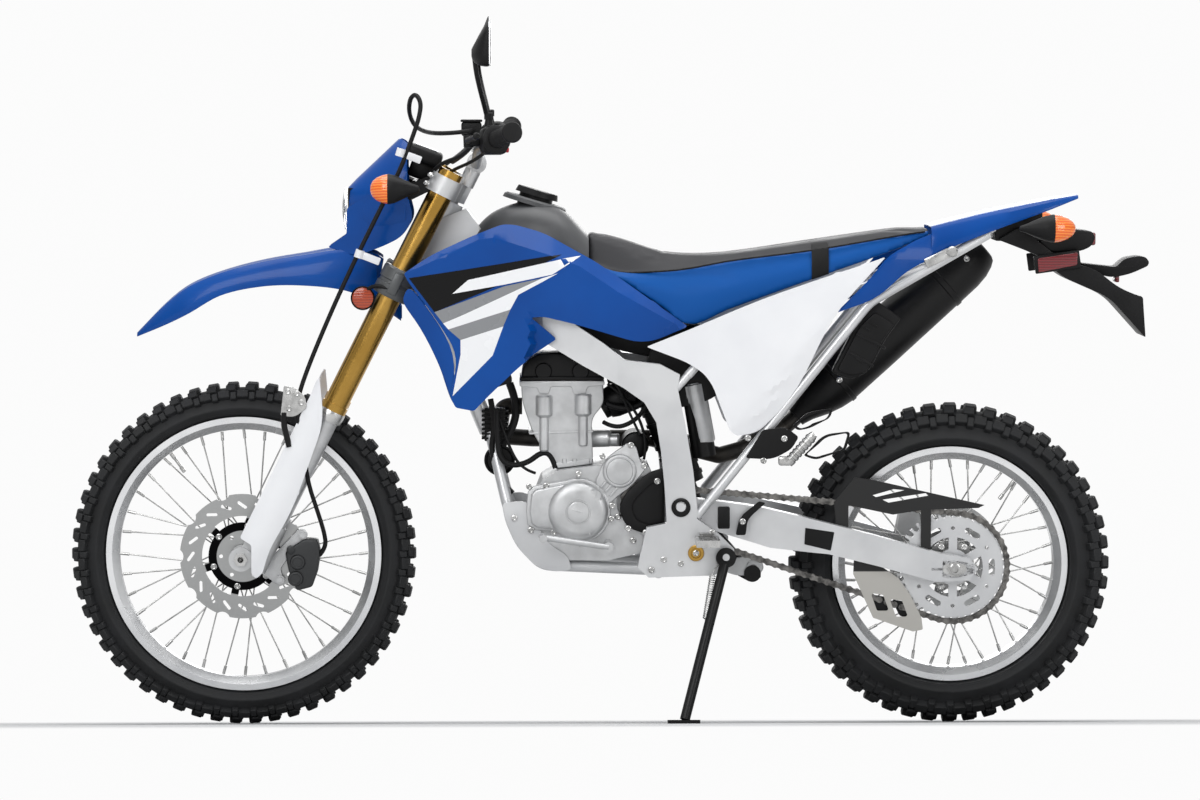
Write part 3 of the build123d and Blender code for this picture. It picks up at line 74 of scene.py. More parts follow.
def add(tree, kind, links=None, **settings):
    """Adds a node. links fills its inputs with values or outputs; settings are its properties."""
    made = tree.nodes.new(kind)
    for key, value in settings.items():
        setattr(made, key, value)
    for key, value in (links or {}).items():
        if isinstance(value, bpy.types.NodeSocket):
            tree.links.new(value, made.inputs[key])
        else:
            made.inputs[key].default_value = value
    return made


def reckon(tree, operation, *values):
    """One step of arithmetic; returns its result."""
    return add(tree, "ShaderNodeMath", dict(enumerate(values)), operation=operation).outputs[0]


def blend(tree, share, low, high):
    """The colour low where share is 0 and high where it is 1."""
    return add(tree, "ShaderNodeMix", {0: share, 6: low, 7: high}, data_type="RGBA").outputs[2]


def ramp_of(tree, share, tones, stops=(0, 1)):
    """A ramp between two colours, from one stop to the other."""
    made = add(tree, "ShaderNodeValToRGB", {"Fac": share})
    for element, position, tone in zip(made.color_ramp.elements, stops, tones):
        element.position, element.color = position, linear(tone)
    return made.outputs[0]


def raised(tree, shader, height, strength, distance):
    """Bump from a height, on the shader's normal."""
    bump = add(tree, "ShaderNodeBump", {"Strength": strength, "Distance": distance, "Height": height})
    tree.links.new(bump.outputs[0], shader.inputs["Normal"])


def finish_of(name, colour, roughness, metallic=0.0, **values):
    """A material with even values; returns it with its tree, its shader and the object's coordinates."""
    made = bpy.data.materials.new(name)
    made.use_nodes = True
    tree = made.node_tree
    tree.nodes.clear()
    shader = add(tree, "ShaderNodeBsdfPrincipled", {
        "Base Color": linear(colour), "Roughness": roughness, "Metallic": metallic,
        **{key.replace("_", " "): value for key, value in values.items()}})
    add(tree, "ShaderNodeOutputMaterial", {"Surface": shader.outputs[0]})
    return made, tree, shader, add(tree, "ShaderNodeTexCoord").outputs["Object"]


def grained(made, grain_mm, height_mm, strength, tones=None, worn=0.06, patch_mm=60):
    """Gives a finish its grain as bump, a slow change of gloss, and where asked a slow change of tone."""
    material, tree, shader, place = made
    grain = add(tree, "ShaderNodeTexNoise", {"Vector": place, "Scale": 1000 / grain_mm, "Detail": 3.0})
    raised(tree, shader, grain.outputs["Fac"], strength, height_mm / 1000)
    patch = add(tree, "ShaderNodeTexNoise", {"Vector": place, "Scale": 1000 / patch_mm, "Detail": 4.0})
    even = shader.inputs["Roughness"].default_value
    gloss = add(tree, "ShaderNodeMapRange", {
        "Value": patch.outputs["Fac"], "From Min": 0.3, "From Max": 0.7,
        "To Min": max(0.03, even - worn), "To Max": even + worn})
    tree.links.new(gloss.outputs[0], shader.inputs["Roughness"])
    if tones:
        tone = ramp_of(tree, patch.outputs["Fac"], tones, (0.35, 0.65))
        tree.links.new(tone, shader.inputs["Base Color"])
    return material


# Carbon-filled tyre rubber, moulded: a dull black with a fine skin, a little uneven in tone.
TYRE = grained(finish_of("moulded_tyre_rubber", "#17181a", 0.66, Specular_IOR_Level=0.35), 2.5, 0.15, 0.35,
               ("#131415", "#1d1e20"))
# Polypropylene panels moulded in blue: even deep colour under a clean gloss.
BLUE = grained(finish_of("moulded_blue_polypropylene", "#004390", 0.3, Specular_IOR_Level=0.14,
                         Coat_Weight=0.15, Coat_Roughness=0.08), 9.0, 0.05, 0.12,
               ("#003f8a", "#004797"), worn=0.03, patch_mm=180)
# The same plastic in white: even and bright, under a thin clear gloss.
WHITE = grained(finish_of("moulded_white_polypropylene", "#e6e7ea", 0.32, Coat_Weight=0.25,
                          Coat_Roughness=0.1), 9.0, 0.05, 0.1, ("#e2e3e6", "#ebecee"), worn=0.03,
                patch_mm=180)
# Black ABS from an etched mould: pebbled and half matt.
BLACK = grained(finish_of("textured_black_abs", "#0c0c0d", 0.46, Specular_IOR_Level=0.2), 0.9, 0.06, 0.5,
                ("#0a0a0b", "#101011"))
# Grey-black tank plastic, satin from its mould.
TANK = grained(finish_of("satin_tank_polyethylene", "#3f4042", 0.42), 1.6, 0.05, 0.4, ("#3b3c3e", "#444547"))
# Powder-coated steel in satin black, with a faint orange peel.
BLACK_STEEL = grained(finish_of("powder_coated_black_steel", "#0b0b0c", 0.36, 0.1, Specular_IOR_Level=0.25),
                      1.8, 0.05, 0.3)
# Die-cast aluminium, bead blasted: a soft sparkle and slightly uneven grey.
CAST = grained(finish_of("blasted_cast_aluminium", "#c9cacb", 0.42, 0.7), 0.9, 0.12, 0.35,
               ("#b6b7b8", "#c9cacb"), worn=0.08, patch_mm=35)
# Frame aluminium under clear satin paint: a pale silver that changes slightly in tone.
FRAME = grained(finish_of("satin_silver_frame_paint", "#dcdddf", 0.36, 0.45, Coat_Weight=0.2),
                0.7, 0.03, 0.25, ("#c1c2c4", "#d1d2d3"), worn=0.05, patch_mm=120)
# Rolled rim aluminium, anodised: bright silver with soft reflections.
RIM = grained(finish_of("anodised_rim_aluminium", "#e0e1e2", 0.26, 0.85), 0.8, 0.02, 0.2,
              ("#dadbdd", "#e9eaeb"), patch_mm=90)
# Zinc-plated steel of spokes, bolts and axle: bright, with a slight tarnish.
PLATED = grained(finish_of("zinc_plated_steel", "#b8b8b8", 0.26, 1.0), 1.2, 0.02, 0.25,
                 ("#a5a5a4", "#c9c9c8"), patch_mm=25)
# Chain steel, oiled: bright in places and dark in others.
CHAIN = grained(finish_of("oiled_chain_steel", "#6a6866", 0.34, 0.95), 1.0, 0.05, 0.3, ("#4b4a49", "#83817e"),
                patch_mm=12)
# Gold anodising over a drawn tube: a warm satin metal with a slight change of depth.
GOLD = grained(finish_of("gold_anodised_tube", "#a9843f", 0.26, 1.0), 0.8, 0.02, 0.15, ("#a07c3a", "#b38e49"),
               patch_mm=140)
# Black silencer paint, baked on: nearly matt, a little mottled.
SILENCER = grained(finish_of("baked_black_silencer_paint", "#0b0b0c", 0.42, Specular_IOR_Level=0.25),
                   1.4, 0.06, 0.35, ("#09090a", "#0e0e0f"), patch_mm=80)
# Exhaust pipe steel under black heat paint that has dulled to brown-grey in patches.
PIPE = grained(finish_of("heat_painted_steel", "#2b2927", 0.42, 0.5), 1.2, 0.03, 0.2, ("#232221", "#38342f"),
               patch_mm=45)
# Extruded rubber of hoses, boots and grips: matt, with a fine grain.
RUBBER = grained(finish_of("extruded_black_rubber", "#0e0e0f", 0.55, Specular_IOR_Level=0.22), 0.8, 0.05, 0.4)
# Vinyl in dark grey with a fine moulded grain, on the seat's plain solid.
VINYL = grained(finish_of("grained_black_vinyl", "#38383a", 0.5), 1.1, 0.12, 0.55, ("#343436", "#3e3e40"))
# Printed film on the panels, in plain tones: thin, smooth and a little glossier than what it lies on.
FILM_BLACK = grained(finish_of("printed_film_black", "#070708", 0.26, Specular_IOR_Level=0.2), 6.0, 0.02, 0.1)
FILM_GREY = grained(finish_of("printed_film_grey", "#808285", 0.26, Coat_Weight=0.4), 6.0, 0.02, 0.1)
FILM_WHITE = grained(finish_of("printed_film_white", "#e9eaec", 0.26, Coat_Weight=0.4), 6.0, 0.02, 0.1)
# Red ABS of the horn button: smooth and a little glossy.
RED_PLASTIC = grained(finish_of("moulded_red_abs", "#b01220", 0.35), 2.0, 0.03, 0.2)


def lens(name, colour, glow):
    """A ribbed acrylic lens: tinted plastic whose ribs alternate with a brighter glow tone, a painted
    reflection of a bright reflector behind it, so it looks lit from within.
    """
    made, tree, shader, place = finish_of(name, colour, 0.12, IOR=1.49, Coat_Weight=0.5, Coat_Roughness=0.03)
    ribs = add(tree, "ShaderNodeTexWave", {"Vector": place, "Scale": 60.0, "Distortion": 0.6},
               bands_direction="Z").outputs["Fac"]
    raised(tree, shader, ribs, 0.35, 0.0008)
    # Painted reflection: the base colour runs from the lens colour to the brighter glow tone across each rib.
    tree.links.new(ramp_of(tree, ribs, (colour, glow)), shader.inputs["Base Color"])
    return made


# Tinted acrylic: orange signal lamps, the deeper prisms of the side reflectors, and the red rear lamp, each
# with a painted reflection in its ribs.
AMBER = lens("amber_acrylic_lens", "#e0560c", "#f58a2e")
DARK_AMBER = lens("amber_reflector_prisms", "#8e2c0c", "#b2400f")
RED = lens("red_acrylic_lens", "#5a0f16", "#7d1a20")
# Clear polycarbonate of the headlight: almost no tint, and a sharp shine.
GLASS = finish_of("clear_polycarbonate", "#f2f5f7", 0.04, IOR=1.58, Transmission_Weight=0.9)[0]
# Silvered mirror glass: a sharp image of the room.
MIRROR = finish_of("silvered_glass", "#dfe3e6", 0.03, 1.0)[0]
# The lamp's aluminised bowl, a slightly softer mirror.
BOWL = finish_of("aluminised_reflector", "#d9dcdf", 0.12, 1.0)[0]
# Mid-grey paint on the fork's lower clamp, duller than the castings beside it.
GREY_PAINT = finish_of("grey_painted_clamp", "#57595a", 0.42, 0.5)[0]
# Dark grey anodising on the front caliper: metallic under a satin skin.
GREY_ANODISED = finish_of("grey_anodised_caliper", "#3c3d3e", 0.4, 0.7)[0]


BARE_CENTRE_MM = 51


def ringed_disc(name, axle, carrier_mm, carrier, ground):
    """Ground steel, a carrier inside a radius, and bare steel again near the axle, told apart by distance."""
    made, tree, shader, place = finish_of(name, ground, 0.3, 1.0)
    away = add(tree, "ShaderNodeVectorMath", {0: place, 1: PARK @ axle}, operation="SUBTRACT").outputs[0]
    along = (PARK.to_3x3() @ RIGHT).normalized()
    radial = add(tree, "ShaderNodeVectorMath", {0: away, 1: along}, operation="CROSS_PRODUCT").outputs[0]
    radius = add(tree, "ShaderNodeVectorMath", {0: radial}, operation="LENGTH").outputs["Value"]
    colour = linear(ground)
    for edge_mm, inner in ((carrier_mm, linear(carrier)), (BARE_CENTRE_MM, linear(ground))):
        outside = add(tree, "ShaderNodeMapRange", {
            "Value": radius, "From Min": edge_mm / 1000, "From Max": (edge_mm + 1) / 1000}).outputs[0]
        colour = blend(tree, outside, inner, colour)
    tree.links.new(colour, shader.inputs["Base Color"])
    rings = add(tree, "ShaderNodeTexWave", {"Vector": away, "Scale": 120.0, "Distortion": 2.0},
                wave_type="RINGS", rings_direction="X")
    raised(tree, shader, rings.outputs["Fac"], 0.12, 0.0002)
    return made


# Brake discs of ground stainless steel, with turning marks; the front one has a black carrier.
FRONT_DISC = ringed_disc("ground_disc_steel_front", FRONT_AXLE, 77, "#0d0d0e", "#a6a7a7")
REAR_DISC = ringed_disc("ground_disc_steel_rear", REAR_AXLE, 72, "#8f9090", "#b9baba")

# Chain guard: black powder coat on top, and bare brushed aluminium on the lower guide.
CHAIN_GUARD, tree, shader, place = finish_of("coated_steel_and_bare_aluminium", "#101011", 0.4, 0.2)
height = add(tree, "ShaderNodeSeparateXYZ", {0: place}).outputs["Z"]
coated = add(tree, "ShaderNodeMapRange", {"Value": height, "From Min": 0.300, "From Max": 0.302}).outputs[0]
tree.links.new(blend(tree, coated, linear("#b9b7b2"), linear("#101011")), shader.inputs["Base Color"])
metal = add(tree, "ShaderNodeMapRange", {"Value": coated, "To Min": 0.9, "To Max": 0.1})
tree.links.new(metal.outputs[0], shader.inputs["Metallic"])

# Vinyl over foam: dark grey on top and blue below the seam, parted by the height above the seam line.
TWO_TONE, tree, shader, place = finish_of("grained_two_tone_vinyl", "#2f2f31", 0.5, Specular_IOR_Level=0.18)
grained((TWO_TONE, tree, shader, place), 1.1, 0.12, 0.55)
above = add(tree, "ShaderNodeAttribute", attribute_name="above_seam").outputs["Fac"]
on_top = reckon(tree, "GREATER_THAN", above, 0.0)
tree.links.new(blend(tree, on_top, linear("#004d98"), linear("#38383a")), shader.inputs["Base Color"])

NODE_FINISH = {
    RIM: ["front_rim", "rear_rim"],
    PLATED: ["front_hub", "rear_hub", "front_axle", "rear_axle", "front_sprocket", "footpegs"],
    FRAME: ["main_frame", "subframe", "swingarm", "skid_plate", "rear_sprocket"],
    CAST: ["fork_lowers", "triple_clamps", "handlebar", "crankcase", "cylinder", "engine_covers",
           "rear_caliper", "foot_controls"],
    CHAIN_GUARD: ["chain_guard"],
    GOLD: ["fork_tubes"],
    BLACK: ["hand_controls", "mirrors", "headlight", "instrument_panel", "sprocket_cover", "plate_holder",
            "fuel_cap", "tool_box"],
    BLACK_STEEL: ["lamp_bracket", "radiator", "passenger_pegs", "side_stand", "shock_absorber",
                  "cylinder_head_cover", "front_caliper"],
    BLUE: ["headlight_cowl", "front_fender", "radiator_shrouds", "rear_fender"],
    WHITE: ["fork_guards", "side_covers"],
    TANK: ["fuel_tank"],
    VINYL: ["seat"],
    RUBBER: ["grips", "front_brake_hose"],
    SILENCER: ["muffler"],
    PIPE: ["exhaust_pipe"],
    AMBER: ["front_indicators", "rear_indicators"],
    RED: ["tail_lamp"],
    CHAIN: ["drive_chain"],
    TYRE: ["front_tyre", "rear_tyre"],
    FRONT_DISC: ["front_brake_disc"],
    REAR_DISC: ["rear_brake_disc"],
}
for finish, names in NODE_FINISH.items():
    for name in names:
        slots = frame["nodes"][name].data.materials
        slots.clear()
        slots.append(finish)


# ================================================================ making pieces
# Points closer than this many metres become one.
WELD = 0.00001
# Edges that turn by more than this many radians are rounded.
BEVEL_FROM = 0.6


def to_object(name, mesh):
    made = bpy.data.objects.new(name, mesh)
    bpy.context.scene.collection.objects.link(made)
    return made


def plain(source):
    """The evaluated shape of an object as a mesh of its own; the object is removed."""
    bpy.context.view_layer.update()
    evaluated = source.evaluated_get(bpy.context.evaluated_depsgraph_get())
    mesh = bpy.data.meshes.new_from_object(evaluated)
    bpy.data.objects.remove(source)
    return mesh


def joined(meshes):
    """Several meshes as one."""
    shape = bmesh.new()
    for mesh in meshes:
        shape.from_mesh(mesh)
    whole = bpy.data.meshes.new("whole")
    shape.to_mesh(whole)
    shape.free()
    for mesh in meshes:
        bpy.data.meshes.remove(mesh)
    return whole


def piece(name, drawn, finish, body="chassis", stands_for=(), soft_edge=35):
    """Parks a mesh, or a list of them, drawn upright in millimetres, and hangs it on its body."""
    mesh = joined(drawn) if isinstance(drawn, list) else drawn
    mesh.transform(PARK)
    shape = bmesh.new()
    shape.from_mesh(mesh)
    bmesh.ops.remove_doubles(shape, verts=shape.verts, dist=WELD)
    bmesh.ops.recalc_face_normals(shape, faces=shape.faces)
    for edge in shape.edges:
        edge.smooth = not edge.is_manifold or edge.calc_face_angle(0) < math.radians(soft_edge)
    for face in shape.faces:
        face.smooth = True
    shape.to_mesh(mesh)
    shape.free()
    mesh.materials.clear()
    mesh.materials.append(finish)
    mesh.name = name
    made = to_object(name, mesh)
    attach(made, body)
    if stands_for:
        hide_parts(*stands_for)
    return made


def shell_of(points, faces, wall=0.0, bevel=0.0, levels=0, segments=2):
    """A mesh from points and faces, given a wall, rounded edges and subdivision where asked."""
    mesh = bpy.data.meshes.new("shell")
    mesh.from_pydata([tuple(p) for p in points], [], faces)
    mesh.update()
    made = to_object("shell", mesh)
    if wall:
        solid = made.modifiers.new("wall", "SOLIDIFY")
        solid.thickness, solid.offset = wall, -1
    if levels:
        smooth = made.modifiers.new("smooth", "SUBSURF")
        smooth.levels = smooth.render_levels = levels
    if bevel:
        rounded = made.modifiers.new("round", "BEVEL")
        rounded.width, rounded.segments = bevel, segments
        rounded.limit_method, rounded.angle_limit = "ANGLE", BEVEL_FROM
    return plain(made)


def lofted(sections, closed_ends=True, around=True):
    """Points and faces of a skin through sections of equal count; each runs round a closed loop."""
    count, points, faces = len(sections[0]), [p for s in sections for p in s], []
    last = count if around else count - 1
    for row in range(len(sections) - 1):
        for i in range(last):
            j = (i + 1) % count
            faces.append((row * count + i, row * count + j, (row + 1) * count + j, (row + 1) * count + i))
    if closed_ends:
        faces.append(tuple(reversed(range(count))))
        faces.append(tuple(range((len(sections) - 1) * count, len(sections) * count)))
    return points, faces


def turned(profile, centre, axis, steps=48):
    """A shape turned on a lathe: profile is (distance along the axis, radius), axis its direction."""
    across = UP.rotation_difference(Vector(axis).normalized())
    sections = []
    for step in range(steps):
        angle = 2 * math.pi * step / steps
        sections.append([Vector(centre) + across @ Vector((r * math.cos(angle), r * math.sin(angle), along))
                         for along, r in profile])
    return shell_of(*lofted(sections + [sections[0]], closed_ends=False, around=False))


def hose(points, radius, sides=12):
    """A hose, rod or cable: a smooth line through its control points, with a round section."""
    line = bpy.data.curves.new("line", "CURVE")
    line.dimensions, line.bevel_depth, line.use_fill_caps = "3D", radius, True
    line.bevel_resolution, line.resolution_u = max(1, sides // 4 - 1), 8
    spline = line.splines.new("NURBS")
    spline.points.add(len(points) - 1)
    for point, spot in zip(spline.points, points):
        point.co = (*spot, 1)
    spline.use_endpoint_u, spline.order_u = True, 3
    return plain(to_object("line", line))


def tipped(cosine, sine):
    """The axes of a block tipped about the machine's width."""
    return Vector((cosine, 0, -sine)), RIGHT, Vector((sine, 0, cosine))


def box_shape(centre, size, axes=(Vector((1, 0, 0)), RIGHT, UP), bevel=1.0, **more):
    """A block with rounded edges, turned to given axes."""
    half = [axis * length / 2 for axis, length in zip(axes, size)]
    corners = [Vector(centre) + half[0] * i + half[1] * j + half[2] * k
               for i in SIDES for j in SIDES for k in SIDES]
    faces = [(0, 1, 3, 2), (4, 6, 7, 5), (0, 4, 5, 1), (2, 3, 7, 6), (0, 2, 6, 4), (1, 5, 7, 3)]
    return shell_of(corners, faces, bevel=bevel, **more)


def bar_between(a, b, beyond, width, height, bevel):
    """A block laid from one point to another, and beyond them."""
    along = (b - a).normalized()
    size = ((b - a).length + beyond, width, height)
    return box_shape((a + b) / 2, size, (along, RIGHT, along.cross(RIGHT)), bevel)


def inside(p, loop):
    """Whether a point lies within a closed outline."""
    crossings = 0
    for a, b in zip(loop, loop[1:] + loop[:1]):
        if (a.y > p.y) != (b.y > p.y) and p.x < (b.x - a.x) * (p.y - a.y) / (b.y - a.y) + a.x:
            crossings += 1
    return crossings % 2 == 1


def sheet_of(outline, depth, grid, holes=(), creases=()):
    """Points and faces of a curved sheet with an X-Z outline; depth(x, z) gives its Y, creases run in it."""
    outline, holes = [Vector(p) for p in outline], [[Vector(p) for p in hole] for hole in holes]
    spots, edges = [], []

    def on_sheet(p):
        return inside(p, outline) and not any(inside(p, hole) for hole in holes)

    for loop in (outline, *holes):
        ring = []
        for a, b in zip(loop, loop[1:] + loop[:1]):
            pieces = max(1, round((b - a).length / grid))
            ring += [a + (b - a) * k / pieces for k in range(pieces)]
        start = len(spots)
        spots += ring
        edges += [(start + k, start + (k + 1) % len(ring)) for k in range(len(ring))]
    for line in creases:
        cut = [Vector(a).lerp(Vector(b), k / 6) for a, b in zip(line, line[1:]) for k in range(6)]
        cut = [p for p in cut if inside(p, outline) and min((p - q).length for q in spots) > 2.5]
        start = len(spots)
        spots += cut
        edges += [(start + k, start + k + 1) for k, (p, q) in enumerate(zip(cut, cut[1:]))
                  if (p - q).length < 40]
    rim = list(spots)
    low = Vector((min(p.x for p in outline), min(p.y for p in outline)))
    high = Vector((max(p.x for p in outline), max(p.y for p in outline)))
    for row in range(int((high.y - low.y) / grid) + 2):
        for column in range(int((high.x - low.x) / grid) + 2):
            p = Vector((low.x + (column + 0.5 * (row % 2)) * grid, low.y + row * grid))
            if min((p - q).length for q in rim) >= grid * 0.45 and on_sheet(p):
                spots.append(p)
    points, _, faces, *_ = delaunay_2d_cdt(spots, edges, [], 0, 0.01)
    kept = [tuple(f) for f in faces if on_sheet(sum((points[i] for i in f), Vector((0, 0))) / len(f))]
    return [Vector((p.x, depth(p.x, p.y), p.y)) for p in points], kept


def between(table, x):
    """Reads a table of (x, value) in straight lines."""
    if x <= table[0][0]:
        return table[0][1]
    for (x0, v0), (x1, v1) in zip(table, table[1:]):
        if x <= x1:
            return v0 + (v1 - v0) * ((x - x0) / (x1 - x0))
    return table[-1][1]


def smooth(table, x):
    """Reads a smooth curve through a table of rows (x, value, ...) at x; returns the row's values."""
    x = min(max(x, table[0][0]), table[-1][0])
    k = max(i for i in range(len(table) - 1) if table[i][0] <= x)
    a, b = table[k], table[k + 1]
    before, after = table[max(k - 1, 0)], table[min(k + 2, len(table) - 1)]
    span = b[0] - a[0]
    t = (x - a[0]) / span
    values = []
    for i in range(1, len(a)):
        into = (b[i] - before[i]) / (b[0] - before[0]) * span
        out = (after[i] - a[i]) / (after[0] - a[0]) * span
        values.append(a[i] * (2 * t ** 3 - 3 * t ** 2 + 1) + into * (t ** 3 - 2 * t ** 2 + t)
                      + b[i] * (3 * t ** 2 - 2 * t ** 3) + out * (t ** 3 - t ** 2))
    return values


def eased(loop, gentle=0.42, sharp=5.0, limit=48, steps=5):
    """A closed outline with its corners rounded: slight turns widely, sharp ones by a small radius."""
    result, count = [], len(loop)
    for i in range(count):
        a, p, b = Vector(loop[i - 1]), Vector(loop[i]), Vector(loop[(i + 1) % count])
        size = gentle * min((p - a).length, (b - p).length)
        if math.degrees((p - a).angle(b - p)) > limit:
            size = min(size, sharp)
        start, end = p + (a - p).normalized() * size, p + (b - p).normalized() * size
        for k in range(steps + 1):
            t = k / steps
            spot = start * (1 - t) ** 2 + p * 2 * t * (1 - t) + end * t * t
            if not result or (spot - result[-1]).length > 0.9:
                result.append(spot)
    return result[:-1] if (result[0] - result[-1]).length < 0.9 else result


def panel(outline, depth, wall=3.0, grid=13.0, bevel=0.9, **more):
    """A moulded panel on the rider's left: a curved sheet with a wall and softened edges."""
    return shell_of(*sheet_of(outline, depth, grid, **more), wall=wall, bevel=bevel)


def both_sides(mesh):
    """The mesh and its mirror image on the rider's right."""
    other = mesh.copy()
    other.transform(Matrix.Scale(-1, 4, (0, 1, 0)))
    other.flip_normals()
    return joined([mesh, other])


def plate(outline, near, far, bevel=2.0, sharp=None):
    """A slab with an X-Z outline between two distances left of the centre plane; sharp rounds its corners."""
    outline = eased(outline, sharp=sharp) if sharp else outline
    sections = [[Vector((p[0], -y, p[1])) for p in outline] for y in (near, far)]
    return shell_of(*lofted(sections), bevel=bevel, segments=3)


def arc(centre, radius, start, stop, steps):
    """Points along an arc, by its angles in degrees."""
    angles = [math.radians(start + (stop - start) * i / steps) for i in range(steps + 1)]
    return [(centre[0] + radius * math.cos(a), centre[1] + radius * math.sin(a)) for a in angles]


# ================================================================ repeats, by geometry nodes
def node_group(name, sizes):
    """An empty geometry tree with named inputs; returns it with its input sockets and its output node."""
    tree = bpy.data.node_groups.new(name, "GeometryNodeTree")
    tree.interface.new_socket("Geometry", in_out="INPUT", socket_type="NodeSocketGeometry")
    for label, kind, value in sizes:
        made = tree.interface.new_socket(label, in_out="INPUT", socket_type="NodeSocket" + kind)
        if value is not None:
            made.default_value = value
    tree.interface.new_socket("Geometry", in_out="OUTPUT", socket_type="NodeSocketGeometry")
    return tree, add(tree, "NodeGroupInput").outputs, add(tree, "NodeGroupOutput")


def close_tree(tree, given, instances, result):
    """Ends a tree: the instances are made real and take the finish."""
    real = add(tree, "GeometryNodeRealizeInstances", {0: instances.outputs[0]}).outputs[0]
    coloured = add(tree, "GeometryNodeSetMaterial", {"Geometry": real, "Material": given["Finish"]})
    tree.links.new(coloured.outputs[0], result.inputs[0])


# A ring of copies round a wheel's axle: the shape's own Z points away from the axle, its X along the rim.
ring_tree, given, result = node_group("ring_of_copies", [
    ("Count", "Int", 12), ("Radius", "Float", 100.0), ("Across", "Float", 0.0), ("Tilt", "Float", 0.0),
    ("Phase", "Float", 0.0), ("Finish", "Material", None)])
step = reckon(ring_tree, "DIVIDE", 2 * math.pi, given["Count"])
index = add(ring_tree, "GeometryNodeInputIndex").outputs[0]
angle = reckon(ring_tree, "MULTIPLY_ADD", index, step, given["Phase"])
out_x, out_z = [reckon(ring_tree, "MULTIPLY", reckon(ring_tree, way, angle), given["Radius"])
                for way in ("COSINE", "SINE")]
spot = add(ring_tree, "ShaderNodeCombineXYZ", {"X": out_x, "Y": given["Across"], "Z": out_z})
attitude = add(ring_tree, "ShaderNodeCombineXYZ", {
    "X": given["Tilt"], "Y": reckon(ring_tree, "SUBTRACT", math.pi / 2, angle), "Z": 0.0})
spots = add(ring_tree, "GeometryNodePoints", {"Count": given["Count"], "Position": spot.outputs[0]})
copies = add(ring_tree, "GeometryNodeInstanceOnPoints", {
    "Points": spots.outputs[0], "Instance": given["Geometry"], "Rotation": attitude.outputs[0]})
close_tree(ring_tree, given, copies, result)

# Copies set at points, each with its Z along the point's own direction, such as bolt heads.
set_tree, given, result = node_group("copies_at_points", [
    ("Shape", "Object", None), ("Finish", "Material", None)])
aim = add(set_tree, "GeometryNodeInputNamedAttribute", {"Name": "aim"}, data_type="FLOAT_VECTOR")
upright = add(set_tree, "FunctionNodeAlignRotationToVector", {"Vector": aim.outputs[0]}, axis="Z")
shape_of = add(set_tree, "GeometryNodeObjectInfo", {"Object": given["Shape"]})
copies = add(set_tree, "GeometryNodeInstanceOnPoints", {
    "Points": given["Geometry"], "Instance": shape_of.outputs["Geometry"], "Rotation": upright.outputs[0]})
close_tree(set_tree, given, copies, result)

# Copies along a closed line, every second one left out, such as a chain's outer links.
line_tree, given, result = node_group("copies_along_line", [
    ("Shape", "Object", None), ("Count", "Int", 12), ("Odd", "Int", 0), ("Finish", "Material", None)])
spaced = add(line_tree, "GeometryNodeResampleCurve", {"Curve": given["Geometry"], "Count": given["Count"]})
tangent = add(line_tree, "GeometryNodeInputTangent")
along = add(line_tree, "FunctionNodeAlignRotationToVector", {"Vector": tangent.outputs[0]}, axis="X",
            pivot_axis="Y")
shape_of = add(line_tree, "GeometryNodeObjectInfo", {"Object": given["Shape"]})
parity = reckon(line_tree, "MODULO", add(line_tree, "GeometryNodeInputIndex").outputs[0], 2.0)
chosen = add(line_tree, "FunctionNodeCompare", {"A": parity, "B": given["Odd"]}, data_type="FLOAT",
             operation="EQUAL")
copies = add(line_tree, "GeometryNodeInstanceOnPoints", {
    "Points": spaced.outputs[0], "Selection": chosen.outputs[0], "Instance": shape_of.outputs["Geometry"],
    "Rotation": along.outputs[0]})
close_tree(line_tree, given, copies, result)


def grow(source, tree, **values):
    """Runs a tree on an object with named values and returns the plain mesh."""
    modifier = source.modifiers.new("repeat", "NODES")
    modifier.node_group = tree
    for item in tree.interface.items_tree:
        if item.in_out == "INPUT" and item.name in values:
            modifier[item.identifier] = values[item.name]
    return plain(source)


def ring(mesh, axle, finish, **values):
    """Copies of a mesh round an axle. Sizes: Count, Radius, Across, Tilt, Phase."""
    copies = grow(to_object("copy", mesh), ring_tree, Finish=finish, **values)
    copies.transform(Matrix.Translation(axle))
    return copies


def set_at(mesh, spots, finish=PLATED):
    """Copies of a mesh at (point, direction) pairs."""
    shape = to_object("shape", mesh)
    cloud = bpy.data.meshes.new("cloud")
    cloud.from_pydata([tuple(p) for p, _ in spots], [], [])
    aims = cloud.attributes.new("aim", "FLOAT_VECTOR", "POINT")
    for item, (_, direction) in zip(aims.data, spots):
        item.vector = Vector(direction).normalized()
    copies = grow(to_object("cloud", cloud), set_tree, Shape=shape, Finish=finish)
    bpy.data.objects.remove(shape)
    return copies


# ================================================================ tyres
def tread_block(along, across, height, taper=0.14, sink=4.0):
    """A tread block standing on its tyre's carcass, its outer face smaller than its foot."""
    ends = ((-height - sink, 1 + taper), (0, 1.0))
    points = [(x * along / 2 * size, y * across / 2 * size, z) for z, size in ends
              for x, y in ((-1, -1), (1, -1), (1, 1), (-1, 1))]
    faces = [(3, 2, 1, 0), (4, 5, 6, 7), (0, 1, 5, 4), (1, 2, 6, 5), (2, 3, 7, 6), (3, 0, 4, 7)]
    return shell_of(points, faces, bevel=1.5, segments=1)


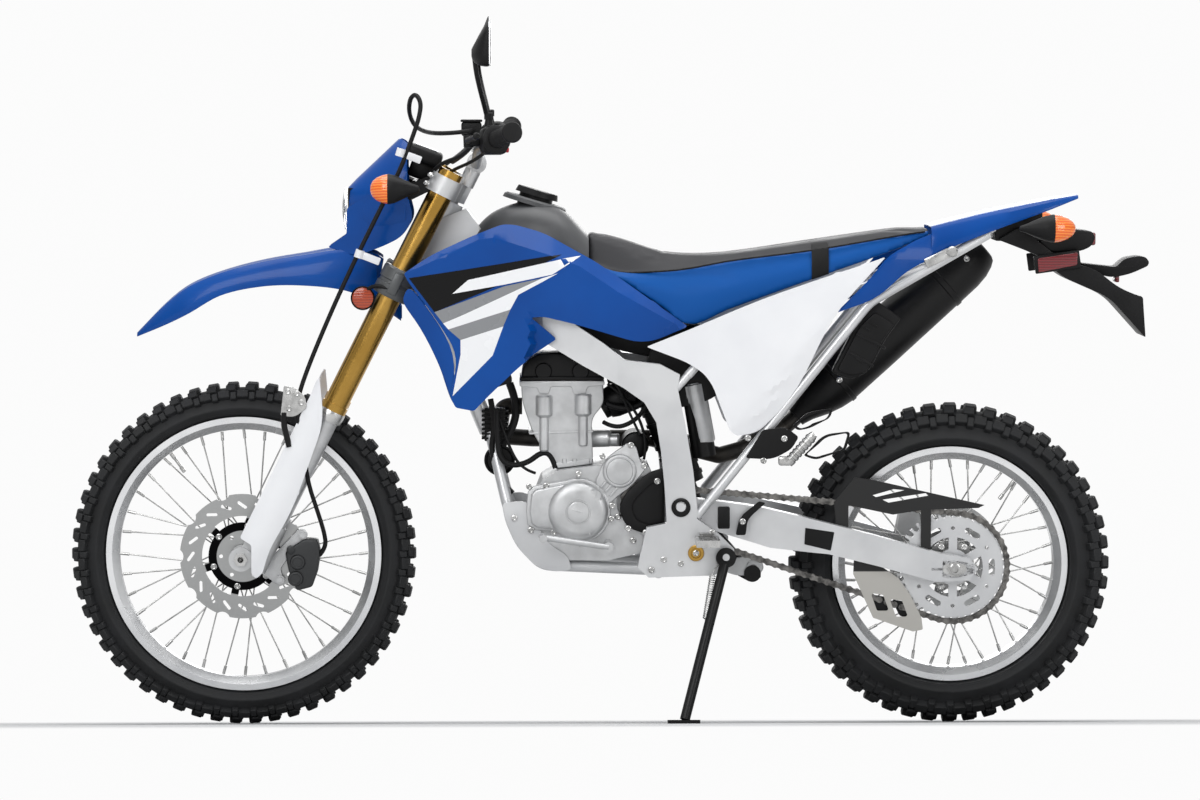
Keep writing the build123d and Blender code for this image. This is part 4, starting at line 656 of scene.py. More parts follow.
def knobbly(end, axle, radius, width, rim_radius, rim_width, depth, count, rows):
    """An enduro tyre: a carcass from bead to bead, two moulded ribs on each wall, and rings of tread blocks.

    rows holds (angle off the crown, length, width, turn in shares of a pitch, height) of each ring of blocks.
    """
    half, drop = width / 2, 0.4 * width
    crown = (half * half + drop * drop) / (2 * drop)
    bead = rim_width / 2 - 5.8
    wall = [(bead, -7.7), (bead, 1), (bead + 6, 4), (half - 15, 5), (half - 13.4, 7.4), (half - 11, 8),
            (half - 5, 15), (half - 3.6, 17), (half - 3, 19), (half - 3.4, 21)]
    wall = [(across, rim_radius + up) for across, up in wall]
    centre = radius - crown
    low = crown - depth
    shoulder = [math.radians(angle) for angle in range(78, 0, -6)]
    wall += [(low * math.sin(a), centre + low * math.cos(a)) for a in shoulder]
    profile = wall + [(0, centre + low)] + [(-y, r) for y, r in reversed(wall)]
    meshes = [turned(profile, axle, RIGHT, steps=96)]
    for angle, along, across, phase, tall in rows:
        for side in SIDES:
            phi = math.radians(angle)
            lift = crown - across * across / (8 * crown) - 0.4
            meshes.append(ring(tread_block(along, across, tall), axle, TYRE, Count=count,
                               Radius=centre + lift * math.cos(phi), Across=side * lift * math.sin(phi),
                               Tilt=-side * phi, Phase=2 * math.pi / count * phase))
    return piece(end + "_tyre_knobbly", meshes, TYRE, end + "_wheel", stands_for=[end + "_tyre"])


REAR_BLOCKS = [(11, 23, 21, 0.0, 14), (34, 21, 20, 0.12, 14), (56, 25, 19, 0.5, 14), (62, 13, 20, 0.0, 12)]
FRONT_BLOCKS = [(13, 21, 16, 0.0, 12), (37, 19, 15, 0.12, 12), (60, 23, 15, 0.5, 12), (66, 12, 15, 0.0, 10)]
knobbly("rear", REAR_AXLE, radius=324.6, width=120.0, rim_radius=237.0, rim_width=62.0, depth=14.0,
        count=48, rows=REAR_BLOCKS)
knobbly("front", FRONT_AXLE, radius=346.7, width=82.0, rim_radius=276.0, rim_width=44.0, depth=12.0,
        count=54, rows=FRONT_BLOCKS)

# ================================================================ the roller chain
CHAIN_Y, WHEEL_R, DRIVE_R = -86.0, 108.73, 33.17
HALF_PITCH, LINKS = 7.9, 110
rear_centre, drive_centre = Vector((710.0, 324.6)), Vector((84.0, 457.0))
reach = drive_centre - rear_centre
heading, spread = math.atan2(reach.y, reach.x), math.acos((WHEEL_R - DRIVE_R) / reach.length)


def on_run(centre, radius, angle):
    """A point on a circle about one sprocket, in the chain's plane."""
    return Vector((centre.x + radius * math.cos(angle), CHAIN_Y, centre.y + radius * math.sin(angle)))


wrap = 2 * math.pi - 2 * spread
run = [on_run(rear_centre, WHEEL_R, heading + spread + wrap * i / 60) for i in range(61)]
run += [on_run(drive_centre, DRIVE_R, heading - spread + 2 * spread * i / 24) for i in range(25)]


def link(half_gap, thick, radius, waist):
    """The two waisted side plates of one link, centred and along X."""
    outline = []
    for centre, start, pinch in ((HALF_PITCH, -125, waist), (-HALF_PITCH, 55, -waist)):
        outline += arc((centre, 0), radius, start, start + 250, 10) + [(0, pinch)]
    plates = []
    for side in SIDES:
        sections = [[Vector((x, side * y, z)) for x, z in outline] for y in (half_gap, half_gap + thick)]
        plates.append(shell_of(*lofted(sections), bevel=0.35, segments=1))
    return joined(plates)


def pin_pair(radius, half_length):
    """The two pins of a link, their ends chamfered."""
    end = [(-half_length, 0), (-half_length, radius - 0.5), (-half_length + 0.5, radius)]
    profile = end + [(-along, r) for along, r in reversed(end)]
    return joined([turned(profile, (x, 0, 0), RIGHT, 12) for x in (-HALF_PITCH, HALF_PITCH)])


def along_run(mesh, odd):
    """Copies of a link on every second pitch of the chain's run."""
    shape = to_object("link", mesh)
    curve = bpy.data.curves.new("run", "CURVE")
    curve.dimensions = "3D"
    spline = curve.splines.new("POLY")
    spline.points.add(len(run) - 1)
    for point, spot in zip(spline.points, run):
        point.co = (*spot, 1)
    spline.use_cyclic_u = True
    copies = grow(to_object("run", curve), line_tree, Shape=shape, Count=LINKS, Odd=odd, Finish=CHAIN)
    bpy.data.objects.remove(shape)
    return copies


outer_link = joined([link(5.9, 1.7, 6.6, 4.7), pin_pair(2.4, 8.0)])
inner_link = link(4.0, 1.7, 6.2, 4.4)
straight = [(a + (b - a) * (k + 0.5) / 39, RIGHT) for a, b in ((run[60], run[61]), (run[85], run[0]))
            for k in range(1, 38)]
roller = turned([(-3.8, 3.0), (-3.8, 5.0), (3.8, 5.0), (3.8, 3.0)], (0, 0, 0), UP, 14)
piece("roller_chain", [along_run(outer_link, 0), along_run(inner_link, 1), set_at(roller, straight, CHAIN)],
      CHAIN, stands_for=["drive_chain"])

# ================================================================ moulded panels
SHROUD = [(-383, 918), (-330, 954), (-242, 994), (-190, 1013), (-166, 1012), (-109, 996), (-49, 962),
          (-9, 940), (51, 899), (178, 809), (93, 773), (-45, 815), (-109, 831), (-133, 829), (-83, 785),
          (-150, 739), (-218, 675), (-246, 646), (-282, 653), (-292, 673), (-276, 759), (-326, 837),
          (-374, 901)]
# (X, half width) in plan, and the crease above which the panel leans in to the tank.
SHROUD_PLAN = [(-400, 197), (-250, 190), (-120, 164), (0, 137), (190, 121)]
SHROUD_CREASE = [(-373, 921), (-237, 984), (-205, 988), (-95, 952), (-36, 929), (39, 878), (178, 800)]
LEAN_ABOVE_CREASE, TUCK_BELOW, TUCK = 0.85, 800, 0.00035
# Behind the notch in its lower edge the panel also turns in, below a sloping line.
NOTCH_X, NOTCH_LINE, NOTCH_SLOPE, NOTCH_TURN = -133, (-45, 815), -0.3, 0.5


def shroud_depth(x, z):
    """The shroud's distance left of the centre plane, as a Y."""
    y = smooth(SHROUD_PLAN, x)[0] - LEAN_ABOVE_CREASE * max(0.0, z - between(SHROUD_CREASE, x))
    y -= TUCK * max(0.0, TUCK_BELOW - z) ** 2
    if x > NOTCH_X:
        y -= NOTCH_TURN * max(0.0, NOTCH_LINE[1] + (x - NOTCH_LINE[0]) * NOTCH_SLOPE - z)
    return -y


def scoop_row(rim, far, inward):
    """One line across the scoop, from the shroud's front edge to the scoop's own, which is set inward."""
    y = shroud_depth(*rim)
    return [Vector((rim[0], y + 1.2, rim[1])),
            Vector(((rim[0] + far[0]) / 2, y + 1.2 + inward / 3, (rim[1] + far[1]) / 2)),
            Vector((far[0], y + inward, far[1]))]


shroud = panel(eased(SHROUD), shroud_depth, creases=[SHROUD_CREASE])
SCOOP = [((-374, 901), (-391, 861), 5), ((-326, 837), (-353, 817), 8), ((-276, 759), (-315, 736), 14),
         ((-292, 673), (-307, 712), 14), ((-283, 655), (-293, 668), 12)]
scoop = lofted([scoop_row(*row) for row in SCOOP], closed_ends=False, around=False)
scoop = shell_of(*scoop, wall=2.2, levels=2)
piece("shroud_panels", both_sides(joined([shroud, scoop])), BLUE, stands_for=["radiator_shrouds"],
      soft_edge=22)

# The stripes' film lies just off the panel: plain wedges of black, grey and white, by how far off each lies.
STRIPES = {
    "stripe_black": (FILM_BLACK, 0.5, [(-373, 909), (-95, 951), (-72, 953), (-213, 887), (-323, 842)]),
    "stripe_white": (FILM_WHITE, 0.9, [(-257, 905), (-64, 946), (-34, 950), (-91, 914), (-182, 896),
                                       (-288, 878)]),
    "stripe_grey": (FILM_GREY, 0.5, [(-323, 842), (-186, 892), (-111, 907), (-272, 834), (-306, 820)]),
    "stripe_white_low": (FILM_WHITE, 0.5, [(-306, 820), (-272, 834), (-111, 907), (-80, 916), (-158, 875),
                                           (-174, 846), (-233, 828), (-296, 808)]),
    "stripe_grey_low": (FILM_GREY, 0.5, [(-296, 808), (-233, 828), (-174, 846), (-188, 813), (-272, 787)]),
    "stripe_white_foot": (FILM_WHITE, 0.5, [(-272, 787), (-188, 813), (-209, 756), (-288, 676), (-272, 758)]),
}
for name, (finish, lift, outline) in STRIPES.items():
    film = panel(outline, lambda x, z: shroud_depth(x, z) - lift, wall=0.3, bevel=0)
    piece(name, both_sides(film), finish)

COVER = [(95, 770), (180, 804), (318, 862), (434, 902), (570, 946), (469, 837), (405, 703), (370, 651),
         (317, 599), (275, 592), (261, 603), (226, 694), (208, 718), (174, 740)]
COVER_PLAN = [(80, 142), (200, 144), (330, 140), (450, 131), (580, 124)]
COVER_CREASE = [(268, 612), (330, 690), (466, 836)]
COVER_RIDGES = [((324, 675), (407, 725)), ((281, 610), (381, 687))]
FOLD_AT, FOLD_SLOPE, FOLD_TURN = (268, 612), 1.13, 0.16
RIDGE_HEIGHT, RIDGE_HALF = 3.0, 9


def cover_depth(x, z):
    """The side cover's Y: it folds in below a sloping line, and two low ridges stand on it."""
    y = smooth(COVER_PLAN, x)[0] - FOLD_TURN * max(0.0, FOLD_AT[1] + (x - FOLD_AT[0]) * FOLD_SLOPE - z)
    for start, end in COVER_RIDGES:
        a, b, p = Vector(start), Vector(end), Vector((x, z))
        t = (p - a).dot(b - a) / (b - a).length_squared
        if 0 < t < 1:
            off = abs((p - a).cross(b - a)) / (b - a).length / RIDGE_HALF
            y += RIDGE_HEIGHT * max(0.0, 1 - off) * min(1, 4 * t, 4 - 4 * t)
    return -y


cover = panel(eased(COVER), cover_depth, grid=10, creases=[COVER_CREASE])
piece("side_cover_panels", both_sides(cover), WHITE, stands_for=["side_covers"], soft_edge=16)

# The fork guards wrap round the lower legs.
GUARD = [(-569, 676), (-711, 391), (-688, 377), (-688, 318), (-679, 309), (-667, 320), (-653, 366),
         (-606, 448), (-543, 622), (-552, 711), (-560, 700)]


def guard_depth(x, z):
    """The guard's Y: flat in front of the fork leg, whose middle slopes with it, and curling in beside it."""
    middle = -592 + (z - 560) * 0.5
    return -141.5 + min(9.0, ((x - middle) / 34) ** 2 * 7)


piece("fork_guard_shells", both_sides(panel(eased(GUARD), guard_depth, grid=10)), WHITE, "steering",
      stands_for=["fork_guards"], soft_edge=30)

# ================================================================ mudguards
# Stations of (X, height of the ridge, height of the edge, half width); sections of (across, up) in shares.
FENDER = [(-921, 792, 784, 20), (-860, 853, 810, 46), (-815, 887, 832, 57), (-751, 914, 868, 62),
          (-669, 936, 886, 65), (-587, 950, 888, 66), (-500, 962, 877, 62), (-440, 952, 850, 52),
          (-392, 908, 816, 40)]
FENDER_SECTION = [(1.0, 0.0), (1.0, 0.28), (0.93, 0.62), (0.83, 0.86), (0.74, 0.97), (0.6, 0.985),
                  (0.34, 0.93), (0.16, 1.0), (0.0, 1.03)]
TAIL = [(664, 1006, 948, 94), (780, 1034, 994, 86), (902, 1058, 1038, 72), (961, 1067, 1060, 50)]
TAIL_SECTION = [(1.0, 0.0), (0.99, 0.3), (0.93, 0.75), (0.85, 0.97), (0.7, 1.0), (0.4, 1.0), (0.0, 1.02)]
WING = [(471, 835), (541, 905), (576, 949), (634, 980), (668, 992), (668, 946), (611, 917), (553, 864)]
WING_PLAN = [(460, 121), (570, 119), (670, 95)]
CLAMP_FOOT, CLAMP_REACH = 960.5, 66


def mirrored_loop(half):
    """A section from its left half: the same points again on the right, in turn."""
    return half + [Vector((p.x, -p.y, p.z)) for p in reversed(half[:-1])]


def roof(stations, steps, section, allow=lambda p: p):
    """A mudguard: a roofed section carried along X through its stations, open below."""
    sections = []
    for i in range(steps + 1):
        x = stations[0][0] + (stations[-1][0] - stations[0][0]) * i / steps
        top, edge, half = smooth(stations, x)
        side = [Vector((x, -half * across, edge + (top - edge) * up)) for across, up in section]
        sections.append([allow(p) for p in mirrored_loop(side)])
    return shell_of(*lofted(sections, closed_ends=False, around=False), wall=-3, bevel=0.7)


def under_clamp(p):
    """Keeps the mudguard below the lower clamp of the fork."""
    up, back = (p - STEER_FOOT).dot(STEER_UP), (p - STEER_FOOT).dot(STEER_BACK)
    return p - STEER_UP * (up - CLAMP_FOOT) if abs(back) < CLAMP_REACH and up > CLAMP_FOOT else p


piece("front_mudguard", roof(FENDER, 44, FENDER_SECTION, under_clamp), BLUE, "steering",
      stands_for=["front_fender"], soft_edge=24)
wing = panel(eased(WING), lambda x, z: -smooth(WING_PLAN, x)[0] + max(0, z - 950) * 0.3)
piece("tail_mudguard", [roof(TAIL, 20, TAIL_SECTION), both_sides(wing)], BLUE,
      stands_for=["rear_fender"], soft_edge=24)

# ================================================================ headlight cowl
# (height, X) down the nose, and (height, half width).
COWL_NOSE = [(974, -470), (985, -494), (1030, -499), (1076, -503), (1100, -480), (1180, -395)]
COWL_HALF = [(974, 52), (990, 78), (1020, 95), (1060, 98), (1110, 93), (1150, 78), (1181, 52)]
COWL_BACK, COWL_FLAT = -374, 28
half_rim = [(46, 1180), (66, 1166), (80, 1145), (93, 1110), (98, 1060), (95, 1020), (78, 990), (50, 975)]
COWL_RIM = half_rim + [(-y, z) for y, z in reversed(half_rim)]
LAMP_HOLE = [(-56, 1082), (56, 1082), (38, 998), (-38, 998)]
GLASS_RIM = [(-55, 1081), (55, 1081), (37.4, 999), (-37.4, 999)]
CHEEK = [(-499, 1042), (-500, 990), (-538, 964), (-482, 946), (-428, 966), (-390, 985), (-366, 1022),
         (-376, 1062), (-440, 1078)]


def cowl_depth(y, z):
    """The cowl's X: a flat nose that sweeps back towards the cowl's sides."""
    nose, half = between(COWL_NOSE, z), smooth(COWL_HALF, z)[0]
    share = max(0.0, (abs(y) - COWL_FLAT) / max(half - COWL_FLAT, 8))
    return nose + (COWL_BACK - nose) * min(1.0, share) ** 2.6


def dished(rim_x, bulge):
    """The depth of a dish over the lamp's opening, from its rim to its middle."""
    return lambda y, z: rim_x + bulge * (1 - (y / 56) ** 2) * (1 - ((z - 1040) / 43) ** 2)


def facing_front(outline, depth, wall=2.5, **more):
    """A sheet drawn from the front: its outline is in Y and Z, and depth(y, z) gives its X."""
    points, faces = sheet_of(outline, depth, 9.0, **more)
    return shell_of([Vector((p.y, p.x, p.z)) for p in points], [tuple(reversed(f)) for f in faces], wall=wall,
                    bevel=0.7)


# Behind its front the cowl has two cheeks, which run down to the mudguard.
cowl = facing_front(eased(COWL_RIM), cowl_depth, holes=[eased(LAMP_HOLE, sharp=9)])
cheek = panel(eased(CHEEK), lambda x, z: -(38 + (x + 540) * 0.3 + max(0, z - 960) * 0.12), grid=10)
piece("cowl_shell", [cowl, both_sides(cheek)], BLUE, "steering", stands_for=["headlight_cowl"], soft_edge=28)
glass = facing_front(eased(GLASS_RIM, sharp=9), dished(-503, -7), wall=2.0)
piece("headlight_glass", glass, GLASS, "steering", soft_edge=50)
bowl = facing_front(eased(GLASS_RIM, sharp=9), dished(-492, 38), wall=1.0)
bulb = turned([(-30, 0), (-29, 4), (-24, 7.5), (-16, 8.5), (-4, 7), (0, 5.5), (0, 0)],
              (-462, 0, 1040), (1, 0, 0), 20)
piece("headlight_bowl", [bowl, bulb], BOWL, "steering", soft_edge=50)

# ================================================================ tank
# Rows of (X, lowest, highest, half width); each section is a rounded box by a superellipse.
TANK_ROWS = [(-250, 948, 988, 34), (-232, 918, 1012, 50), (-205, 884, 1034, 68), (-160, 846, 1051, 88),
             (-120, 832, 1054, 102), (-70, 832, 1038, 106), (-18, 850, 987, 100)]
TANK_SQUARENESS = 0.62


def tank_section(x, steps=36):
    """The tank's section at X, as a closed loop."""
    low, high, half = smooth(TANK_ROWS, x)
    points = []
    for k in range(steps):
        across, up = [math.copysign(abs(c) ** TANK_SQUARENESS, c)
                      for c in (math.cos(2 * math.pi * k / steps), math.sin(2 * math.pi * k / steps))]
        points.append(Vector((x, -half * across, (low + high) / 2 + (high - low) / 2 * up)))
    return points


tank = shell_of(*lofted([tank_section(-250 + 232 * i / 24) for i in range(25)]))
# The raised pad round the cap.
pad = turned([(-6, 0), (-6, 66), (2, 64), (5, 60), (5.6, 50), (4, 46), (4, 0)],
             (-124, 0, 1052), (0.28, 0, 0.96))
piece("tank_shell", [tank, pad], TANK, stands_for=["fuel_tank"], soft_edge=32)

# ================================================================ seat
# Rows of (X, top, seam line, bottom, half width on top, half width below).
SEAT = [(-17.7, 992, 936, 925, 46, 84), (40, 976, 916, 902, 62, 98), (120, 950, 917, 852, 72, 106),
        (180, 943, 923, 812, 78, 110), (260, 946, 938, 842, 84, 113), (430, 970, 960, 903, 88, 111),
        (600, 994, 988, 962, 82, 93), (662, 1000, 996, 986, 62, 67)]
SEAT_FRONT, SEAT_LENGTH = -17.7, 679.7
VOXEL, PRESSURE, FRAMES, MOST_MOVE = 0.006, 4.0, 20, 0.004


def seat_edge(x, side, out):
    """A point on the seam line, drawn out sideways."""
    _, line, _, half_top, half_low = smooth(SEAT, x)
    return Vector((x, side * (half_low + (half_top - half_low) * 0.42 + out), line))


def seat_ring(x, out=0.0):
    """The seat's section at X, from its lower left edge over the top to the lower right edge."""
    top, line, bottom, half_top, half_low = smooth(SEAT, x)
    side = [(half_low + out, bottom), (half_low + out - 1, bottom + (line - bottom) * 0.5),
            (seat_edge(x, 1, out).y, line), (half_top + out, max(line + 1, top - 13)),
            (half_top - 5 + out * 0.7, top - 5 + out * 0.7), (half_top - 18, top + out),
            (half_top * 0.45, top + 2 + out), (0, top + 1 + out)]
    return mirrored_loop([Vector((x, -y, z)) for y, z in side])


def stuffed(mesh):
    """Lets the seat's cover settle under the pressure of its filling, moved by no more than a limit."""
    made = to_object("cushion", mesh)
    made.data.transform(Matrix.Scale(0.001, 4))
    remesh = made.modifiers.new("even", "REMESH")
    remesh.mode, remesh.voxel_size = "VOXEL", VOXEL
    even = to_object("cushion", plain(made))
    rest = [v.co.copy() for v in even.data.vertices]
    held = even.vertex_groups.new(name="held")
    for k, p in enumerate(rest):
        base = smooth(SEAT, p.x * 1000)[2] / 1000
        held.add([k], 1.0 if p.z < base + 0.012 or p.x < 0 or p.x > 0.64 else 0.0, "REPLACE")
    cloth = even.modifiers.new("cover", "CLOTH")
    cloth.settings.use_pressure, cloth.settings.uniform_pressure_force = True, PRESSURE
    cloth.settings.effector_weights.gravity = 0.0
    cloth.settings.tension_stiffness, cloth.settings.bending_stiffness = 25.0, 6.0
    cloth.settings.vertex_group_mass = "held"
    cloth.point_cache.frame_start, cloth.point_cache.frame_end = 1, FRAMES
    for frame_number in range(1, FRAMES + 1):
        bpy.context.scene.frame_set(frame_number)
    settled = plain(even)
    bpy.context.scene.frame_set(1)
    for v, p in zip(settled.vertices, rest):
        move = v.co - p
        v.co = p + (move.normalized() * MOST_MOVE if move.length > MOST_MOVE else move)
    even = to_object("cushion", settled)
    subdivision = even.modifiers.new("smooth", "SUBSURF")
    subdivision.levels = subdivision.render_levels = 1
    result = plain(even)
    result.transform(Matrix.Scale(1000, 4))
    return result


cushion = stuffed(shell_of(*lofted([seat_ring(SEAT_FRONT + SEAT_LENGTH * i / 60) for i in range(61)])))
seam = cushion.attributes.new("above_seam", "FLOAT", "POINT")
for v, value in zip(cushion.vertices, seam.data):
    value.value = (v.co.z - smooth(SEAT, v.co.x)[1]) / 10
seat = piece("seat_cushion", cushion, TWO_TONE, stands_for=["seat"], soft_edge=70)
piping = [hose([seat_edge(-12 + 664 * i / 40, side, 0.6) for i in range(41)], 2.0, sides=8) for side in SIDES]
piece("seat_piping", piping, RUBBER, soft_edge=60)
strap = [seat_ring(x, out=3.2) for x in (424, 428, 436, 446, 454, 458)]
strap = lofted(strap, closed_ends=False, around=False)
piece("seat_strap", shell_of(*strap, wall=-1.8, bevel=0.5), BLACK, soft_edge=40)

# ================================================================ engine
GENERATOR, GEAR, CLUTCH, PUMP = (-40, 440), (43, 520), (0, 440), (-84, 430)


def domed(centre, y, profile, side=LEFT):
    """A round cover on the engine's side: profile is (height off y, radius)."""
    closed = [(0, profile[0][1])] + profile + [(profile[-1][0], 0)]
    return turned(closed, (centre[0], side.y * y, centre[1]), side, 64)


lobe = arc(GENERATOR, 65, 108, -128, 40) + [(-92, 400), (-124, 402), (-140, 412), (-143, 440), (-140, 478),
                                            (-128, 490), (-92, 496)]
inner_lobe = arc(GENERATOR, 60, 112, -132, 36) + [(-96, 407), (-122, 408), (-133, 416), (-136, 440),
                                                  (-133, 474), (-124, 484), (-96, 489)]
neck = [(-6, 497), (14, 545), (60, 576), (76, 570), (84, 540), (96, 524), (66, 488), (40, 470), (22, 452)]
cases = [
    plate(lobe, 92.5, 104, bevel=2.5),
    plate(inner_lobe, 103, 114, bevel=4),
    domed(GENERATOR, 110, [(0, 60), (3, 59.5), (8, 57), (12, 52.5), (14.5, 46), (15.5, 38)]),
    domed(GENERATOR, 124, [(1.6, 25), (3.0, 24.4), (3.0, 22.8), (1.2, 22.4), (1.2, 21.4), (3.4, 21),
                           (3.8, 20)]),
    plate([(-52, 444), (-51, 446), (-30, 440), (-31, 438)], 127, 128.6, bevel=0.5),
    domed((-5, 473), 119, [(3.5, 14), (4.5, 13.4), (4.5, 12), (3.2, 11.6), (5, 11), (5.2, 10)]),
    plate([(-9, 464), (-7, 463), (-1, 481), (-3, 482)], 123.5, 125, bevel=0.4),
    plate(neck, 92.5, 103, bevel=2.5, sharp=7),
    domed(GEAR, 101, [(0, 34), (6, 33.6), (9, 32), (10.5, 29.5), (10.2, 27), (12.5, 25.5), (13.4, 20),
                      (13.8, 10)]),
    # the right side: the clutch cover, and the water pump in front of it
    domed(CLUTCH, 94.3, [(0, 74), (5, 73.5), (6, 70), (13, 69), (19, 65), (23, 57), (24.5, 50), (22.5, 47),
                         (22.5, 20), (24, 16)], RIGHT),
    domed(PUMP, 94.3, [(0, 41), (6, 40), (7, 36), (18, 34), (22, 28), (23, 14), (32, 12), (32, 9)], RIGHT),
]
raised_rib = [Vector((x, -121.5, z)) for x, z in arc((60, 430), 84, 158, 206, 12)]
cases += [bar_between(a, b, 1.2, 6, 2.6, 0.7) for a, b in zip(raised_rib, raised_rib[1:])]
cases += [plate([(4 + s, 489 - s), (7 + s, 486 - s), (24 + s, 506 - s), (21 + s, 509 - s)], 100, 108, 1.0)
          for s in (0, 9, 18)]
piece("engine_side_covers", cases, CAST, stands_for=["engine_covers"], soft_edge=30)

# Flanged screws: a washer face, a six-sided head and its dished top.
screw = joined([turned([(-2, 0), (-2, 6.3), (0.7, 6.3), (1.5, 5.2), (1.5, 0)], (0, 0, 0), UP, 18),
                turned([(1, 0), (1, 4.7), (5.2, 4.7), (5.9, 4.1), (5.4, 2.8), (5.2, 0)], (0, 0, 0), UP, 6)])


def on_left(places):
    """Places (X, Z, distance left) as points that face left."""
    return [(Vector((x, -y, z)), LEFT) for x, z, y in places]


SCREWS_LEFT = [(-39.4, 514, 104), (-103, 491, 104), (9, 549.5, 103), (65.5, 571.3, 103), (92, 529.7, 103),
               (28, 450.5, 104), (26, 424, 104), (-35.4, 375.3, 104), (-134, 402, 104), (-88, 398, 104),
               (40, 428, 97), (-137, 489, 100), (105.1, 325.8, 140), (-166.9, 425.6, 98.5), (95, 397, 108),
               (60, 405, 108), (118, 500, 109), (-1.8, 371.3, 96), (70, 380, 96)]
screws_right = [(Vector((x, 97, z)), RIGHT) for x, z in arc(CLUTCH, 73, 0, 320, 8)]
piece("engine_screws", set_at(screw, on_left(SCREWS_LEFT) + screws_right), PLATED, soft_edge=40)

# The cylinder: a waisted casting with stud bosses, raised joint lines and two inlet stubs.
BARREL = [(-153, 697), (11, 697), (13, 650), (-12, 622), (-9, 530), (-78, 522), (-127, 584), (-151, 656)]
HEAD_JOINT = [(-156, 686), (-120, 684), (-118, 672), (-98, 670), (-94, 686), (-52, 686), (-48, 670),
              (-24, 670), (-20, 686), (14, 688), (14, 697), (-156, 697)]
casting = [plate(BARREL, -62, 62, bevel=3, sharp=8), plate(HEAD_JOINT, -66, 66, bevel=1.5, sharp=5),
           plate([(-136, 590), (-9, 594), (-9, 598), (-138, 594)], -64.5, 64.5, bevel=0.8),
           plate([(-84, 522), (-16, 530), (-16, 541), (-86, 532)], -64, 64, bevel=1.5)]
for x, foot, low, high in ((-107, 556, 622, 668), (-29, 566, 624, 671)):
    boss = [(foot, 0), (foot, 7), (foot + 3, 9.5), (low + 2, 9.5), (low + 5, 15), (low + 8, 17),
            (high - 3, 17), (high, 15), (high, 10), (high - 3, 9), (high - 3, 0)]
    casting += [turned(boss, (x, y, 0), UP, 28) for y in (-62, 58)]
casting += [turned([(-20, 0), (-20, r), (14, r), (17, r - 2), (17, 0)], (x, -20, z), (1, -0.2, 0.05), 28)
            for x, z, r in ((10, 578, 17), (28, 575, 12))]
casting += [turned([(0, 0), (0, 6), (9, 6), (10, 5), (10, 0)], (x, -60, 531), UP, 6) for x in (-66, -46)]
piece("cylinder_casting", casting, CAST, stands_for=["cylinder"], soft_edge=30)
top_cover = [plate([(-153, 698), (11, 698), (4, 738), (-30, 752), (-118, 752), (-148, 732)], -56, 56, bevel=5,
                   sharp=5),
             plate([(-155, 698), (13, 698), (13, 705), (-155, 705)], -62, 62, bevel=1.5)]
top_cover += [turned([(-61, 0), (-61, 15), (-59, 17), (59, 17), (61, 15), (61, 0)], (x, 0, 716), RIGHT, 32)
              for x in (-108, -34)]
piece("head_cover", top_cover, BLACK_STEEL, stands_for=["cylinder_head_cover"], soft_edge=30)

# Behind the cylinder: the intake boot, throttle body and the box that it draws air from.
AIRBOX = [(96, 660), (150, 640), (236, 660), (300, 740), (400, 842), (180, 790), (104, 760)]
intake = [turned([(0, 0), (0, 26), (10, 27), (12, 24), (30, 24), (33, 30), (58, 30), (60, 27), (96, 33),
                  (98, 30), (98, 0)], (8, 0, 640), (0.86, 0, 0.5), 36),
          plate(AIRBOX, -70, 70, bevel=8, sharp=12),
          box_shape((60, -34, 668), (34, 16, 26), bevel=3),
          box_shape((42, -24, 700), (44, 40, 20), bevel=4),
          turned([(0, 0), (0, 9), (12, 9), (13, 7), (26, 7), (26, 0)], (62, -44, 668), (0.2, -1, 0.1), 20)]
piece("intake_and_airbox", intake, BLACK)
# Coolant, breather and cable runs round the engine, by radius.
HOSES = [(5.5, [(-202, -62, 640), (-201, -66, 603), (-198, -66, 547), (-178, -62, 527), (-142, -60, 531),
                (-110, -58, 556), (-91, -60, 547), (-84, -62, 522)]),
         (3, [(-196, -58, 620), (-176, -62, 560), (-150, -64, 520), (-124, -60, 512)]),
         (4.5, [(12, -30, 612), (34, -44, 600), (70, -48, 612), (96, -56, 640), (120, -60, 700)]),
         (3, [(20, -50, 690), (52, -58, 668), (86, -62, 620), (98, -66, 566), (92, -70, 540)]),
         (2.6, [(-12, -60, 730), (36, -64, 700), (60, -66, 640), (84, -68, 590)]),
         (6, [(18, -40, 650), (60, -40, 632), (110, -44, 664), (150, -50, 690)])]
piece("engine_hoses", [hose(path, radius) for radius, path in HOSES], RUBBER, soft_edge=60)

# Sprocket cover: a moulded shield with a rolled edge and a sunk window.
SHIELD = [(133, 527), (100, 517), (54, 474), (41, 445), (56, 408), (94, 394), (133, 390)]
SHIELD_WINDOW = [(128, 504), (104, 495), (72, 463), (66, 446), (76, 421), (100, 412), (128, 410)]
steps = [[Vector((p.x, -y, p.y)) for p in eased(loop, sharp=9)]
         for loop, y in ((SHIELD, 103), (SHIELD, 107), (SHIELD_WINDOW, 109), (SHIELD_WINDOW, 104))]
shield = [plate(SHIELD, 96, 103, sharp=9), shell_of(*lofted(steps, closed_ends=False), bevel=1.0)]
piece("sprocket_shield", shield, BLACK, stands_for=["sprocket_cover"], soft_edge=30)
cap = turned([(0, 0), (0, 19), (3, 19), (6, 16), (6, 9), (3, 8), (3, 0)], (164, -136, 450), LEFT, 32)
piece("pivot_caps", both_sides(cap), BLACK)

# ================================================================ steering and controls
BAR_TURN, GRIP_END = Vector((-234.8, 180, 1164.4)), Vector((-170, 405, 1198))
GRIP_START = 0.53
RIBS, RIB_PITCH = 13, 7


def along_grip(side, share):
    """A point on the bar's end: 0 where the grip starts, 1 at the bar's end, below 0 inboard of the grip."""
    spot = BAR_TURN + (GRIP_END - BAR_TURN) * (GRIP_START + share * (1 - GRIP_START))
    return Vector((spot.x, side * spot.y, spot.z))


